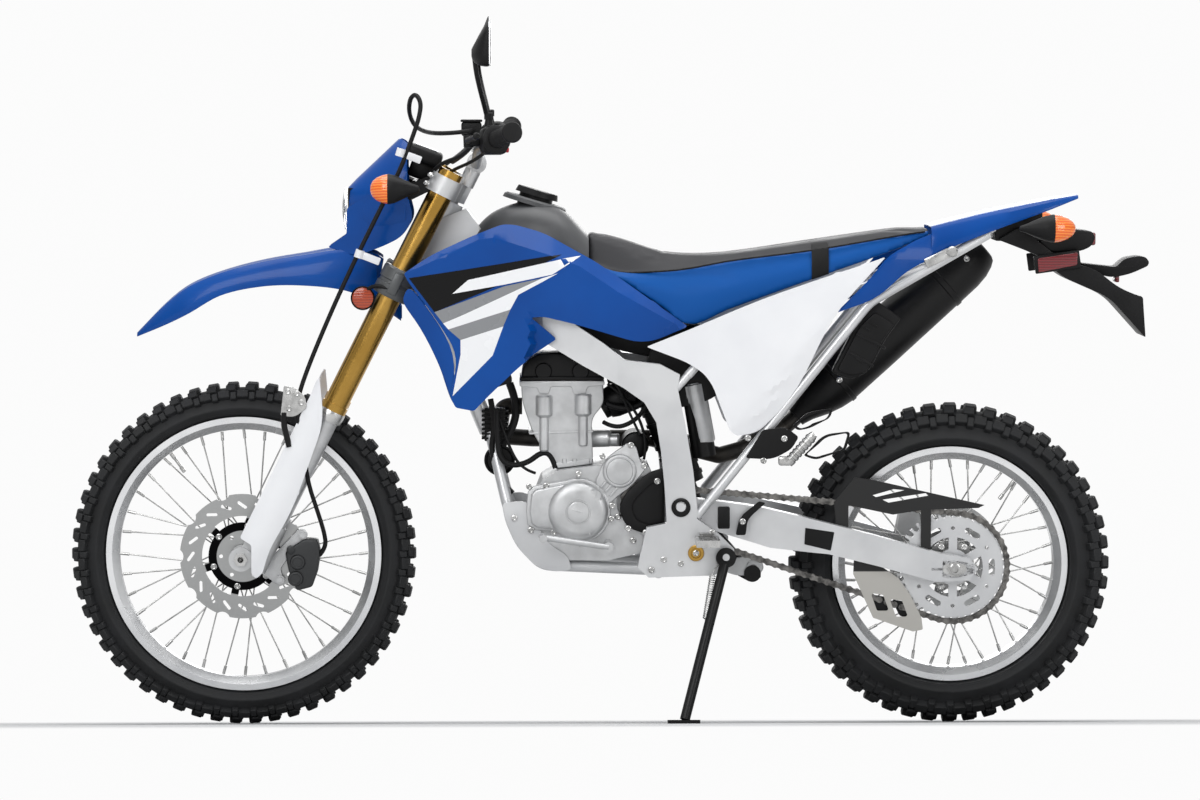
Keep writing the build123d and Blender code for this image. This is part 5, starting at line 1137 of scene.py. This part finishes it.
def grip_axis(side):
    """The direction of the bar's end, outward."""
    return (along_grip(side, 1) - along_grip(side, 0)).normalized()


RIB = ((10, 16.4), (12.5, 17.4), (14.5, 17.4), (16, 15.6))
profile = [(-2, 12), (-2, 26), (0, 28), (3, 28), (5, 26), (6, 18)]
profile += [(along + RIB_PITCH * k, r) for k in range(RIBS) for along, r in RIB]
profile += [(103, 16), (107, 20), (111, 20.5), (114, 19), (115, 14), (115, 0)]
grips = [turned(profile, along_grip(side, 0), grip_axis(side), 40) for side in SIDES]
piece("ribbed_grips", grips, RUBBER, "steering", stands_for=["grips"], soft_edge=40)

controls = []
for side in SIDES:
    axis = grip_axis(side)
    up = (UP - axis * axis.z).normalized()
    axes = (axis.cross(up), axis, up)
    middle, perch = along_grip(side, -0.2), along_grip(side, -0.46)
    pivot = perch + Vector((-42, 0, 2)) + axis * 6
    lever = [pivot] + [along_grip(side, share) + Vector((x, 0, z)) for share, x, z in (
        (0.02, -56, -2), (0.3, -64, -5), (0.66, -62, -6), (0.92, -66, -6))]
    cable = [perch + Vector((x, side * y, z)) for x, y, z in ((-26, 0, 4), (-30, -30, 2), (-50, -110, -24),
                                                              (-74, -170, -40))]
    controls += [
        box_shape(middle, (48, 36, 52), axes, 8, segments=3),
        box_shape(middle - axis * 3 + Vector((0, 0, 24)), (30, 26, 12), axes, 4),
        turned([(-13, 0), (-13, 18), (-11, 20), (11, 20), (13, 18), (13, 0)], perch, axis, 28),
        box_shape((perch + pivot) / 2, (46, 20, 16), axes, 4),
        turned([(-12, 0), (-12, 9), (-10, 10), (10, 10), (12, 9), (12, 0)], pivot, up, 24),
        hose(cable, 5.5), hose(lever, 6),
        turned([(-7, 0), (-5, 5), (0, 7), (5, 5), (7, 0)], lever[-1], axis, 20)]
reservoir = along_grip(1, -0.49) + Vector((-38, 0, 6))
controls += [box_shape(reservoir + Vector((0, 0, 14)), (42, 36, 30), bevel=6, segments=3),
             box_shape(reservoir + Vector((0, 0, 31)), (45, 39, 5), bevel=2)]
piece("bar_controls", controls, BLACK, "steering", stands_for=["hand_controls"])
button_at = along_grip(-1, -0.2) + Vector((24, 0, -17))
piece("horn_button", turned([(-3, 0), (-3, 5), (5, 5), (6.5, 3.6), (6.5, 0)], button_at, (1, 0, -0.1), 20),
      RED_PLASTIC, "steering", soft_edge=40)

# Mirrors: a dished shell that is deepest low down, its glass, and a bent stalk.
MIRROR_X, MIRROR_Y, MIRROR_Z = -214, 345, 1374
MIRROR_RIM = [(-60, -46), (58, -52), (62, 26), (30, 46), (-48, 44), (-62, 10)]
MIRROR_DISH = [(0.96, 0), (1.0, -3), (1.0, -8), (0.94, -17), (0.76, -26), (0.5, -32), (0.2, -34)]
shells, glasses = [], []
rim = eased(MIRROR_RIM, sharp=24)
for side in SIDES:
    rings = []
    for share, back in MIRROR_DISH:
        row = []
        for p in rim:
            z = MIRROR_Z - 26 * (1 - share) + p.y * share
            depth = back * min(1.0, max(0.25, (1428 - z) / 72))
            row.append(Vector((MIRROR_X + depth, side * (MIRROR_Y + p.x * share), z)))
        rings.append(row)
    faces = [[Vector((x, side * (MIRROR_Y + p.x * 0.95), MIRROR_Z + p.y * 0.95)) for p in rim]
             for x in (-214.4, -213.4)]
    glasses.append(shell_of(*lofted(faces)))
    base = along_grip(side, -0.49) + Vector((0, 0, 18))
    stalk = [base, base + Vector((0, 0, 18)), base + Vector((-6, 0, 46)), (-233, side * 300, 1284),
             (-240, side * 326, 1318), (-242, side * 332, 1342)]
    shells += [
        shell_of(*lofted(rings)), hose(stalk, 5),
        turned([(-4, 0), (-4, 11), (10, 11), (22, 8), (30, 6.5), (30, 0)], base, UP, 24),
        turned([(-6, 0), (-6, 9), (6, 9), (8, 7), (8, 0)], base + Vector((0, 0, 34)), UP, 6)]
piece("mirror_shells", shells, BLACK, "steering", stands_for=["mirrors"])
piece("mirror_glass", glasses, MIRROR, "steering")

# The brake hose, from the bar round the loop in front of the meter and down the fork.
brake_line = [reservoir + Vector((2, -18, 13)), reservoir + Vector((-2, -60, 10)), (-318, 150, 1186),
              (-348, 60, 1192), (-366, -20, 1206), (-375, -75, 1232), (-372, -104, 1260), (-360, -118, 1270),
              (-349, -128, 1252), (-353, -133, 1224), (-362, -134, 1196), (-391, -134, 1118),
              (-431, -134, 1042), (-511, -134, 880), (-589, -134, 696), (-598, -132, 640),
              (-584, -130, 570), (-577, -114, 500), (-558, -102, 440), (-545, -92, 396), (-542, -84, 366),
              (-556, -78, 350)]
piece("brake_hose", hose(brake_line, 4.6), RUBBER, "steering", stands_for=["front_brake_hose"], soft_edge=60)
cables = [hose([along_grip(-1, -0.5) + Vector((-30, 0, 0)), (-262, -200, 1150), (-318, -110, 1130),
                (-336, -60, 1096), (-322, -30, 1040)], 4.2),
          hose([along_grip(-1, -0.3) + Vector((-8, 0, -16)), (-240, -180, 1140), (-290, -100, 1118),
                (-328, -40, 1090), (-318, -10, 1030)], 3.6),
          hose([along_grip(1, -0.3) + Vector((-20, 0, 0)), (-262, 200, 1150), (-316, 110, 1120),
                (-330, 60, 1080), (-318, 30, 1030)], 4.2)]
piece("bar_cables", cables, RUBBER, "steering", soft_edge=60)


def signal_lamps(end, body, centre, slim, lens_profile, body_profile, stem_profile, stem_at):
    """A pair of signal lamps: an amber lens on a black body, on a rubber stem that runs inward; the stem
    takes the body's black finish.
    """
    lenses, bodies = [], []
    for side in SIDES:
        at = Vector((centre[0], side * centre[1], centre[2]))
        for profile, group in ((lens_profile, lenses), (body_profile, bodies)):
            shape = turned(profile, (0, 0, 0), (1, 0, 0), 40)
            shape.transform(Matrix.Translation(at) @ Matrix.Scale(slim, 4, RIGHT))
            group.append(shape)
        stem_from = at + Vector((stem_at[0], side * -8, stem_at[1]))
        bodies.append(turned(stem_profile, stem_from, (0, -side, 0), 24))
    piece(end + "_lamp_lenses", lenses, AMBER, body, stands_for=[end + "_indicators"], soft_edge=40)
    piece(end + "_lamp_bodies", bodies, BLACK, body)


signal_lamps("front", "steering", (-415, 172, 1083), 0.86,
             [(-34, 0), (-33, 8), (-29, 16), (-21, 23), (-10, 27.5), (0, 29.5)],
             [(0, 0), (0, 29.5), (2, 30), (14, 27.5), (30, 20), (46, 12), (60, 7), (64, 0)],
             [(0, 11), (20, 8), (24, 9), (62, 9), (66, 12)], (36, 2))
signal_lamps("rear", "chassis", (900, 160, 1004), 0.88,
             [(42, 0), (41, 7), (36, 14), (26, 21), (12, 26), (0, 27.5)],
             [(0, 0), (0, 27.5), (-3, 28), (-18, 25), (-38, 17), (-56, 9), (-68, 5), (-70, 0)],
             [(0, 9), (20, 8), (24, 8), (98, 8), (101, 11)], (-34, -3))

# Fork details: the lower clamp's collars, wipers below the gold tubes and round side reflectors.
COLLAR = [(958, 25), (958, 35), (961, 37), (982, 37), (984, 34.5), (990, 34.5), (992, 37), (1014, 37),
          (1018, 34), (1018, 25)]
WIPER = [(684, 22.5), (684, 27), (690, 28), (704, 28), (708, 26), (712, 26), (712, 22.5)]
CUP = [(-8, 0), (-8, 20), (-3, 24), (2, 24), (3, 22.5), (1, 21), (1, 0)]
PRISM = [(1, 0), (1, 21), (2.2, 20.6), (3.4, 17), (4, 0)]
collars, wipers, cups, prisms = [], [], [], []
for side in SIDES:
    at, outward = on_steering(-25, side * 100, 0), (0, side, 0)
    spot = Vector((-466, side * 120, 866))
    arm = [spot + Vector((0, side * -6, 0)), spot + Vector((14, side * 4, 40)),
           on_steering(-25, side * 134, 972)]
    lug = box_shape(on_steering(-25, side * 134, 988), (20, 12, 44), (STEER_BACK, RIGHT, STEER_UP), 2.5)
    collars += [turned(COLLAR, at, STEER_UP, 40), lug]
    wipers.append(turned(WIPER, at, STEER_UP, 36))
    cups += [turned(CUP, spot, outward, 40), hose(arm, 4)]
    prisms.append(turned(PRISM, spot, outward, 40))
piece("fork_collars", collars, GREY_PAINT, "steering")
piece("fork_wipers", wipers, PLATED, "steering")
piece("reflector_cups", cups, BLACK, "steering")
piece("side_reflectors", prisms, DARK_AMBER, "steering")

# ================================================================ front brake and fork foot
CALIPER = [(-624, 357), (-600, 374), (-586, 383), (-559, 382), (-554, 356), (-560, 318), (-570, 287),
           (-601, 279), (-617, 316)]
CALIPER_BRIDGE = [(-577, 384), (-559, 383), (-553, 356), (-559, 318), (-569, 290), (-578, 284), (-572, 320),
                  (-570, 350)]
CALIPER_ARM = [(-684, 322), (-640, 290), (-626, 296), (-634, 322), (-607, 360), (-578, 388), (-584, 402),
               (-598, 402), (-652, 346), (-664, 346)]
caliper = [plate(CALIPER, 67, 86, bevel=4, sharp=6), plate(CALIPER, 42, 59, bevel=4, sharp=6),
           plate(CALIPER_BRIDGE, 50, 80, bevel=3),
           turned([(80, 0), (80, 8), (90, 8), (91, 6), (91, 0)], (-613, 0, 362), LEFT, 24)]
PISTON_CAP = [(84, 0), (84, 15.5), (88, 15.5), (91, 13.5), (91.6, 10), (90.6, 9), (90.6, 0)]
caliper += [turned(PISTON_CAP, (x, 0, z), LEFT, 36) for x, z in ((-599, 337), (-603, 304))]
piece("caliper_body", caliper, GREY_ANODISED, "steering", stands_for=["front_caliper"], soft_edge=32)
bracket = [plate(CALIPER_ARM, 70, 74, bevel=1.2, sharp=6)]
bracket += [turned([(74, 0), (74, 9), (80, 9), (80, 5.5), (86, 5.5), (86, 0)], (x, 0, z), LEFT, 24)
            for x, z in ((-634.5, 301), (-588, 391))]
piece("caliper_bracket", bracket, CAST, "steering", soft_edge=32)
TAB = [(-622, 694), (-600, 690), (-580, 672), (-577, 650), (-600, 631), (-629, 634)]
tab = plate(TAB, 136, 138, bevel=0.6, sharp=4)
tab_screws = on_left([(-614, 682, 138), (-596, 678, 138), (-588, 660, 138), (-612, 648, 138)])
piece("hose_bracket", [tab, set_at(screw, tab_screws)], PLATED, "steering", soft_edge=32)
flap = hose([(-622, -136, 640), (-623, -136, 618), (-618, -136, 596), (-612, -136, 572)], 6)
piece("rubber_flap", flap, RUBBER, "steering", soft_edge=40)


def bolt_circle(axle, radius, y, first):
    """Six places round an axle, facing left, from a first angle in degrees."""
    return [(axle + Vector((x, -y, z)), LEFT) for x, z in arc((0, 0), radius, first, first + 300, 5)]


disc_bolts = set_at(screw, bolt_circle(FRONT_AXLE, radius=61, y=65, first=20))
piece("front_disc_bolts", disc_bolts, PLATED, "front_wheel", soft_edge=40)
sprocket_nuts = set_at(screw, bolt_circle(REAR_AXLE, radius=46, y=89.3, first=0))
piece("sprocket_nuts", sprocket_nuts, PLATED, "rear_wheel", soft_edge=40)

# The white guides that hold the hose, the clamps' screws, and the meter.
guides = []
for x, z, y in ((-384, 1152, -134), (-466, 952, -134)):
    guides += [box_shape((x + 14, y, z - 6), (44, 6, 15), tipped(0.93, 0.36), 2),
               turned([(-8, 5.2), (-8, 9), (8, 9), (8, 5.2)], (x - 6, y, z + 2), (0.3, 0, 0.95), 24)]
piece("hose_guides", guides, WHITE, "steering")
clamp_screws = [(on_steering(-58, side * 124, up), (-0.9, side * 0.4, 0.4))
                for side in SIDES for up in (1194, 1212)]
clamp_screws += [(on_steering(-8, side * 45, 1290), STEER_UP) for side in SIDES]
piece("clamp_screws", set_at(screw, clamp_screws), PLATED, "steering", soft_edge=40)
METER_AXES = tipped(0.94, 0.35)
meter = [box_shape((-346, 0, 1146), (74, 118, 30), METER_AXES, 9, segments=3),
         box_shape((-350, 0, 1118), (50, 84, 40), METER_AXES, 6)]
piece("meter_housing", meter, BLACK, "steering", stands_for=["instrument_panel"])
piece("meter_window", box_shape((-340, 0, 1161), (46, 88, 1.6), METER_AXES, 0.6), FILM_GREY, "steering")

# ================================================================ silencer
MUFFLER_FOOT = Vector((425, 122, 626))
muffler_axis = (Vector((795, 150, 960)) - MUFFLER_FOOT).normalized()
aside = (RIGHT - muffler_axis * RIGHT.dot(muffler_axis)).normalized()
over = muffler_axis.cross(aside)
# (distance along the axis, half height, half width): inlet cone, bands, body, end cap and outlet.
MUFFLER_RINGS = [(-24, 18, 18), (-24, 22, 22), (-18, 23, 23), (0, 28, 27), (30, 41, 36), (60, 50, 42),
                 (84, 54, 45), (86, 56, 47), (94, 56, 47), (96, 54, 45), (200, 54.5, 45.5), (372, 54, 45),
                 (374, 56, 47), (384, 56, 47), (386, 54, 45), (432, 53.5, 44.5), (458, 50, 42),
                 (478, 43, 38), (489, 36, 33), (492, 30, 28), (491, 21, 21), (474, 19, 19), (470, 18, 18),
                 (470, 2, 2)]


def on_muffler(along, across, up):
    """A point by its place along the silencer's axis, across it and over it."""
    return MUFFLER_FOOT + muffler_axis * along + aside * across + over * up


rings = [[on_muffler(along, wide * c, tall * s) for c, s in arc((0, 0), 1, 0, 360, 56)[:-1]]
         for along, tall, wide in MUFFLER_RINGS]
piece("silencer_body", shell_of(*lofted(rings)), SILENCER, stands_for=["muffler"], soft_edge=30)
silencer_screws = [(on_muffler(448, -43, 8), -aside), (on_muffler(90, -47, 0), -aside)]
piece("silencer_screws", set_at(screw, silencer_screws), PLATED, soft_edge=40)

# ================================================================ tool box
CASE = [(466, 716), (519, 822), (556, 858), (604, 823), (572, 780), (540, 716), (502, 700)]
CASE_LID = [(476, 720), (521, 808), (552, 836), (590, 812), (562, 772), (534, 716), (504, 708)]
case = [plate(CASE, 58, 92, bevel=3, sharp=6), plate(CASE_LID, 90, 98, bevel=2.5, sharp=6)]
case += [bar_between(Vector((x0, -97.5, z0)), Vector((x1, -97.5, z1)), 0, 4, 6, 1.2)
         for x0, z0, x1, z1 in ((500, 756, 548, 728), (514, 792, 572, 764))]
case += [box_shape((x, -98, z), (22, 4, 3), tipped(0.85, 0.5), 0.8)
         for x, z in ((532, 804), (548, 812), (520, 740))]
piece("tool_case", case, BLACK, stands_for=["tool_box"], soft_edge=32)

# ================================================================ tail
LAMP_HOUSING = [(882, 974), (905, 998), (940, 1000), (990, 994), (996, 982), (988, 964), (968, 955),
                (906, 951)]
SIDE_REFLECTOR = [(878, 941), (958, 953), (957, 928), (880, 913)]
PLATE_WING = [(800, 978), (840, 1002), (893, 966), (932, 932), (992, 922), (1042, 882), (1091, 862),
              (1097, 781), (1062, 820), (1024, 862), (926, 905), (888, 944)]
PLATE_FOOT = [(795, 1036), (890, 1054), (890, 975), (795, 975)]
PLATE_ARM = [(969, 930), (1040, 922), (1057, 939), (1084, 944), (1100, 942), (1107, 932), (1104, 924),
             (1069, 908), (1030, 900), (985, 915)]
piece("tail_lamp_housing", plate(LAMP_HOUSING, -50, 50, bevel=4, sharp=6), BLACK, soft_edge=32)
lamp = [box_shape((991, 0, 979), (12, 92, 26), bevel=4), box_shape((1044, 0, 905), (8, 46, 28), bevel=2)]
lamp += [plate(SIDE_REFLECTOR, side * 66, side * 70, bevel=1.2, sharp=3) for side in SIDES]
piece("tail_lenses", lamp, RED, stands_for=["tail_lamp"], soft_edge=32)
holders = [box_shape((918, side * 63, 934), (92, 8, 36), tipped(0.99, -0.14), 2) for side in SIDES]
holders += [plate(PLATE_WING, -58, 58, bevel=4, sharp=5), plate(PLATE_FOOT, -46, 46, bevel=4, sharp=5),
            plate(PLATE_ARM, -30, 30, bevel=4, sharp=5),
            turned([(-26, 0), (-26, 8), (26, 8), (26, 0)], (1088, 0, 856), RIGHT, 24)]
piece("plate_bracket", holders, BLACK, stands_for=["plate_holder"], soft_edge=28)
latches = [box_shape((676, side * 98, 944), (56, 10, 20), tipped(0.9, -0.43), 3) for side in SIDES]
latches += [turned([(0, 0), (0, 11), (6, 11), (8, 8), (8, 0)], (704, side * 100, 956), (0, side, 0), 28)
            for side in SIDES]
piece("seat_latches", latches, PLATED, soft_edge=32)

# ================================================================ behind the engine
RESERVOIR_TOP, RESERVOIR_FOOT = Vector((190, -52, 692)), Vector((216, -52, 552))
sleeve = turned([(0, 0), (0, 20), (4, 24.6), (118, 24.6), (124, 21), (124, 0)], RESERVOIR_TOP,
                RESERVOIR_FOOT - RESERVOIR_TOP, 40)
piece("reservoir_sleeve", sleeve, CAST, soft_edge=32)
LINKAGE = [(257, 333), (300, 342), (330, 334), (336, 316), (326, 302), (281, 301), (259, 308)]
linkage = [plate(LINKAGE, 20, 28, bevel=2.5, sharp=8),
           turned([(18, 0), (18, 14), (31, 14), (32, 12), (32, 6), (30, 5), (30, 0)],
                  (314, 0, 319), LEFT, 32)]
piece("linkage_arms", both_sides(joined(linkage)), CAST, soft_edge=32)
STRUT = [(273, 394), (281, 430), (320, 462), (333, 458), (297, 426), (293, 394)]
LABEL_PATCH = [(412, 408), (470, 399), (463, 362), (410, 375)]
fittings = [plate(STRUT, 127, 131, bevel=0.8, sharp=4), box_shape((249, -140, 430), (24, 12, 44), bevel=3),
            plate(LABEL_PATCH, 126.2, 126.6, bevel=0, sharp=2)]
piece("arm_fittings", fittings, BLACK, soft_edge=32)
brass = turned([(0, 0), (0, 16), (4, 16), (5, 15), (5, 10), (3, 9), (3, 0)], (194, -136.5, 359), LEFT, 36)
piece("brass_collar", brass, GOLD, soft_edge=32)
FRAME_SCREWS = [(194, 359, 139.5), (130, 346, 136), (164, 338, 136), (226, 400, 136), (297, 588, 135),
                (369, 587, 139), (328, 543, 135), (287, 421, 131)]
piece("frame_screws", set_at(screw, on_left(FRAME_SCREWS)), PLATED, soft_edge=40)


def hanger_loop(path, side):
    """A flat bar bent into a closed loop, 6 wide and 5 thick."""
    outer = eased(path, sharp=9)
    middle = sum(outer, Vector((0, 0))) / len(outer)
    inner = [p + (middle - p).normalized() * 6 for p in outer]
    sections = [[Vector((p.x, side * y, p.y)) for p in loop]
                for loop, y in ((outer, 131), (outer, 136), (inner, 136), (inner, 131), (outer, 131))]
    return shell_of(*lofted(sections, closed_ends=False), bevel=0.7, segments=1)


# The left side has a rear loop as well, which on the right would foul the exhaust.
REAR_LOOP = [(407, 553), (431, 544), (492, 564), (501, 601), (447, 595), (417, 562)]
UPPER_LOOP = [(466, 647), (460, 628), (419, 607), (396, 603), (385, 612), (415, 640)]
HANGER = [(292, 548), (326, 604), (372, 610), (398, 590), (384, 566), (346, 545)]
hangers = [hanger_loop(REAR_LOOP, -1)] + [hanger_loop(UPPER_LOOP, side) for side in SIDES]
hangers += [plate(HANGER, side * 130.2, side * 136, bevel=1.5, sharp=6) for side in SIDES]
piece("peg_hangers", hangers, BLACK_STEEL, stands_for=["passenger_pegs"], soft_edge=32)
pegs = []
for side, start, end in ((-1, (376, 539), (428, 597)), (1, (338, 560), (372, 600))):
    a, b = Vector((start[0], side * 142, start[1])), Vector((end[0], side * 148, end[1]))
    length = (b - a).length
    profile = [(0, 0), (0, 10)]
    for k in range(7):
        profile += [(along + 9 * k, r) for along, r in ((6, 11), (10, 11), (11.5, 9.4), (13.5, 9.4))]
    profile = [(along * length / 74, r) for along, r in profile] + [(length, 7), (length, 0)]
    pegs += [turned(profile, a, b - a, 24), box_shape(a + Vector((-6, 0, 4)), (26, 16, 18), bevel=4)]
piece("folded_pegs", pegs, PLATED, soft_edge=32)

# The stand's return spring, hooked along its leg.
STAND_PIVOT, STAND_FOOT = Vector((253, -150, 350)), Vector((190.6, -268, 0))
COIL_TURNS, COIL_LENGTH, COIL_R = 20, 88, 5.4
leg = (STAND_FOOT - STAND_PIVOT).normalized()
out = leg.cross(RIGHT).normalized()
start = STAND_PIVOT + leg * 22 - out * 21
coil = [start + leg * (18 + COIL_LENGTH * k / 220) + out * COIL_R * math.cos(k * 2 * math.pi / 11)
        + leg.cross(out) * COIL_R * math.sin(k * 2 * math.pi / 11) for k in range(11 * COIL_TURNS + 1)]
upper_hook = [start - leg * 6 + out * 8, start + leg * 4, start + leg * 18]
lower_hook = [start + leg * 106, start + leg * 120, start + leg * 130 + out * 12]
spring = [hose(coil, 1.3, sides=8), hose(upper_hook, 1.4, sides=8), hose(lower_hook, 1.4, sides=8)]
piece("stand_spring", spring, PLATED, "side_stand", soft_edge=60)
VALVE = [(0, 0), (0, 4), (-12, 4), (-14, 3), (-34, 3), (-35, 4.2), (-46, 4.2), (-47, 3), (-47, 0)]
for axle, body, r, phase in ((FRONT_AXLE, "front_wheel", 249, 2.2), (REAR_AXLE, "rear_wheel", 210, 0.9)):
    outward = Vector((math.cos(phase), 0, math.sin(phase)))
    piece("valve_" + body, turned(VALVE, axle + outward * r, outward, 16), PLATED, body, soft_edge=32)

WINDOWS = [[(545, 270), (579, 264), (594, 230), (560, 234)], [(588, 260), (618, 254), (636, 222), (604, 226)]]
piece("guide_windows", [plate(path, 84, 92, 1, sharp=6) for path in WINDOWS], RUBBER, soft_edge=32)
ADJUSTER = [(684, 306), (684, 343), (722, 343), (752, 334), (752, 315), (722, 306)]
AXLE_NUT = [(0, 0), (0, 16), (3, 16), (4, 13), (11, 13), (12, 11), (12, 6), (9, 6), (9, 0)]
adjusters = []
for side in SIDES:
    adjusters += [plate(ADJUSTER, side * 119, side * 126, bevel=2, sharp=5),
                  turned(AXLE_NUT, (710, side * 126, 324.6), (0, side, 0), 6),
                  box_shape((676, side * 122.5, 324.6), (26, 7, 7), bevel=1)]
piece("chain_adjusters", adjusters, PLATED, soft_edge=32)

# Between the spars: the air box, the starter motor behind the cylinder, the regulator and horn ahead of it.
SPAR_BOX = [(-132, 838), (-20, 846), (120, 806), (212, 806), (244, 700), (206, 690), (150, 736), (60, 752),
            (-40, 782), (-124, 800)]
inner_parts = [
    plate(SPAR_BOX, -48, 48, bevel=8, sharp=8),
    turned([(-8, 0), (-8, 30), (6, 33), (48, 33), (52, 27), (84, 26), (90, 30), (112, 30), (112, 0)],
           (28, 0, 650), (0.93, 0, 0.36), 40),
    turned([(-62, 0), (-62, 22), (-58, 27), (40, 27), (44, 24), (52, 24), (54, 20), (54, 0)],
           (76, 0, 566), LEFT, 40),
    plate([(-226, 640), (-184, 640), (-184, 574), (-226, 574)], -34, 34),
    turned([(0, 0), (0, 12), (4, 27), (7, 31), (16, 31), (18, 28), (14, 24), (14, 9), (18, 7), (18, 0)],
           (-196, -20, 536), LEFT, 40),
    hose([(-190, -30, 566), (-168, -34, 600), (-160, -30, 650), (-176, -26, 690)], 8),
    hose([(-214, -44, 660), (-204, -50, 610), (-214, -46, 560), (-198, -40, 500), (-170, -44, 470)], 6)]
inner_parts += [plate([(-232, z), (-178, z), (-178, z - 4), (-232, z - 4)], -38, 38, bevel=1)
                for z in range(636, 573, -9)]
piece("frame_inner_parts", inner_parts, BLACK, soft_edge=32)

# The skid plate: a flange on each side, and a lip rolled under the engine between them.
FLANGE = [(-192, 456), (-150, 460), (-128, 450), (-118, 404), (-98, 374), (-60, 350), (-52, 320), (-92, 318),
          (-126, 330), (-162, 368), (-184, 420)]
LIP = [(-192, 456), (-186, 420), (-164, 369), (-127, 331), (-93, 319), (-52, 320)]
skid = [plate(FLANGE, near, near + 3, bevel=0.8, sharp=12) for near in (-97, 94)]
strip = [[Vector((p.x + 0.4, y, p.y + 0.24)) for y in (-96, -60, 0, 60, 96)]
         for p in eased(LIP, sharp=12)[:-1]]
skid.append(shell_of(*lofted(strip, closed_ends=False, around=False), wall=2.6, bevel=0.6))
piece("sump_shield", skid, FRAME, stands_for=["skid_plate"], soft_edge=28)


# ================================================================ floor, light and camera
def studio(name, centre, size, towards, power):
    """A soft box: a rectangular lamp aimed at a point."""
    light = bpy.data.lights.new(name, "AREA")
    light.shape, light.size, light.size_y = "RECTANGLE", *size
    light.energy = power
    lamp = to_object(name, light)
    lamp.location = centre
    lamp.rotation_euler = (Vector(towards) - Vector(centre)).to_track_quat("-Z", "Y").to_euler()


WHITE_LIGHT = (1, 1, 1, 1)
BACKDROP = 0.97
floor_mesh = bpy.data.meshes.new("floor")
floor_mesh.from_pydata([(-40, -30, 0), (40, -30, 0), (40, 60, 0), (-40, 60, 0)], [], [(0, 1, 2, 3)])
floor = to_object("floor", floor_mesh)
# Matt white studio floor: it keeps the shadow near the wheels and meets the white background farther off.
pale, tree, shader, place = finish_of("matt_white_floor", "#d4d4d4", 0.95, Specular_IOR_Level=0.0)
# Painted shade: an ambient-occlusion node darkens the floor's own colour near each tyre, deepening the thin
# shadow under it.
painted_contact_shade = add(tree, "ShaderNodeAmbientOcclusion", {"Color": linear("#d4d4d4"), "Distance": 0.2}, samples=16)
tree.links.new(painted_contact_shade.outputs["Color"], shader.inputs["Base Color"])
away = add(tree, "ShaderNodeVectorMath", {0: place, 1: (0.42, 1.0, 0.0)}, operation="MULTIPLY")
length = add(tree, "ShaderNodeVectorMath", {0: away.outputs[0]}, operation="LENGTH")
far = add(tree, "ShaderNodeMapRange", {"Value": length.outputs["Value"], "From Min": 0.5, "From Max": 1.15},
          interpolation_type="SMOOTHSTEP")
glow = add(tree, "ShaderNodeEmission", {"Color": WHITE_LIGHT, "Strength": BACKDROP})
mixed = add(tree, "ShaderNodeMixShader", {0: far.outputs[0], 1: shader.outputs[0], 2: glow.outputs[0]})
tree.links.new(mixed.outputs[0], tree.nodes["Material Output"].inputs["Surface"])
floor.data.materials.append(pale)

world = bpy.data.worlds.new("studio")
bpy.context.scene.world = world
world.use_nodes = True
tree = world.node_tree
tree.nodes.clear()
seen = add(tree, "ShaderNodeLightPath").outputs
direct = reckon(tree, "MAXIMUM", seen["Is Camera Ray"], seen["Is Transmission Ray"])
ambient = add(tree, "ShaderNodeBackground", {"Color": linear("#f3f6fa"), "Strength": 0.42})
backdrop = add(tree, "ShaderNodeBackground", {"Color": WHITE_LIGHT, "Strength": BACKDROP})
# Shiny pieces mirror a room that is dark at eye level and bright overhead.
height = add(tree, "ShaderNodeSeparateXYZ", {0: add(tree, "ShaderNodeTexCoord").outputs["Generated"]})
lit = add(tree, "ShaderNodeMapRange", {"Value": height.outputs["Z"], "From Min": -0.1, "From Max": 0.75,
                                       "To Min": 0.16, "To Max": 1.25})
room = add(tree, "ShaderNodeBackground", {"Color": WHITE_LIGHT, "Strength": lit.outputs[0]})
shiny = add(tree, "ShaderNodeMixShader", {
    0: seen["Is Glossy Ray"], 1: ambient.outputs[0], 2: room.outputs[0]})
mixed = add(tree, "ShaderNodeMixShader", {0: direct, 1: shiny.outputs[0], 2: backdrop.outputs[0]})
add(tree, "ShaderNodeOutputWorld", {"Surface": mixed.outputs[0]})

studio("overhead", (0, -0.6, 3.6), (3.6, 2.2), (0, 0, 0.6), 75)
studio("rider_left", (-1.6, -4.2, 2.2), (2.4, 1.8), (0, 0, 0.6), 70)
studio("rear_left", (2.8, -3.2, 1.4), (1.2, 1.6), (0.3, 0, 0.5), 28)
studio("rider_right", (0.5, 4.0, 2.0), (2.6, 1.6), (0, 0, 0.6), 40)

camera_data = bpy.data.cameras.new("camera")
camera_data.sensor_width, camera_data.lens = 36.0, 135.7
camera_data.clip_end = 200.0
camera = to_object("camera", camera_data)
eye, target = Vector((-172, -9070, 1336)), Vector((6, 0, 654))
camera.rotation_mode = "QUATERNION"
camera.rotation_quaternion = (Matrix.Rotation(LEAN, 3, "X").to_quaternion()
                              @ (target - eye).to_track_quat("-Z", "Y"))
camera.location = PARK @ eye
bpy.context.scene.camera = camera
bpy.context.scene.view_settings.view_transform = "Standard"
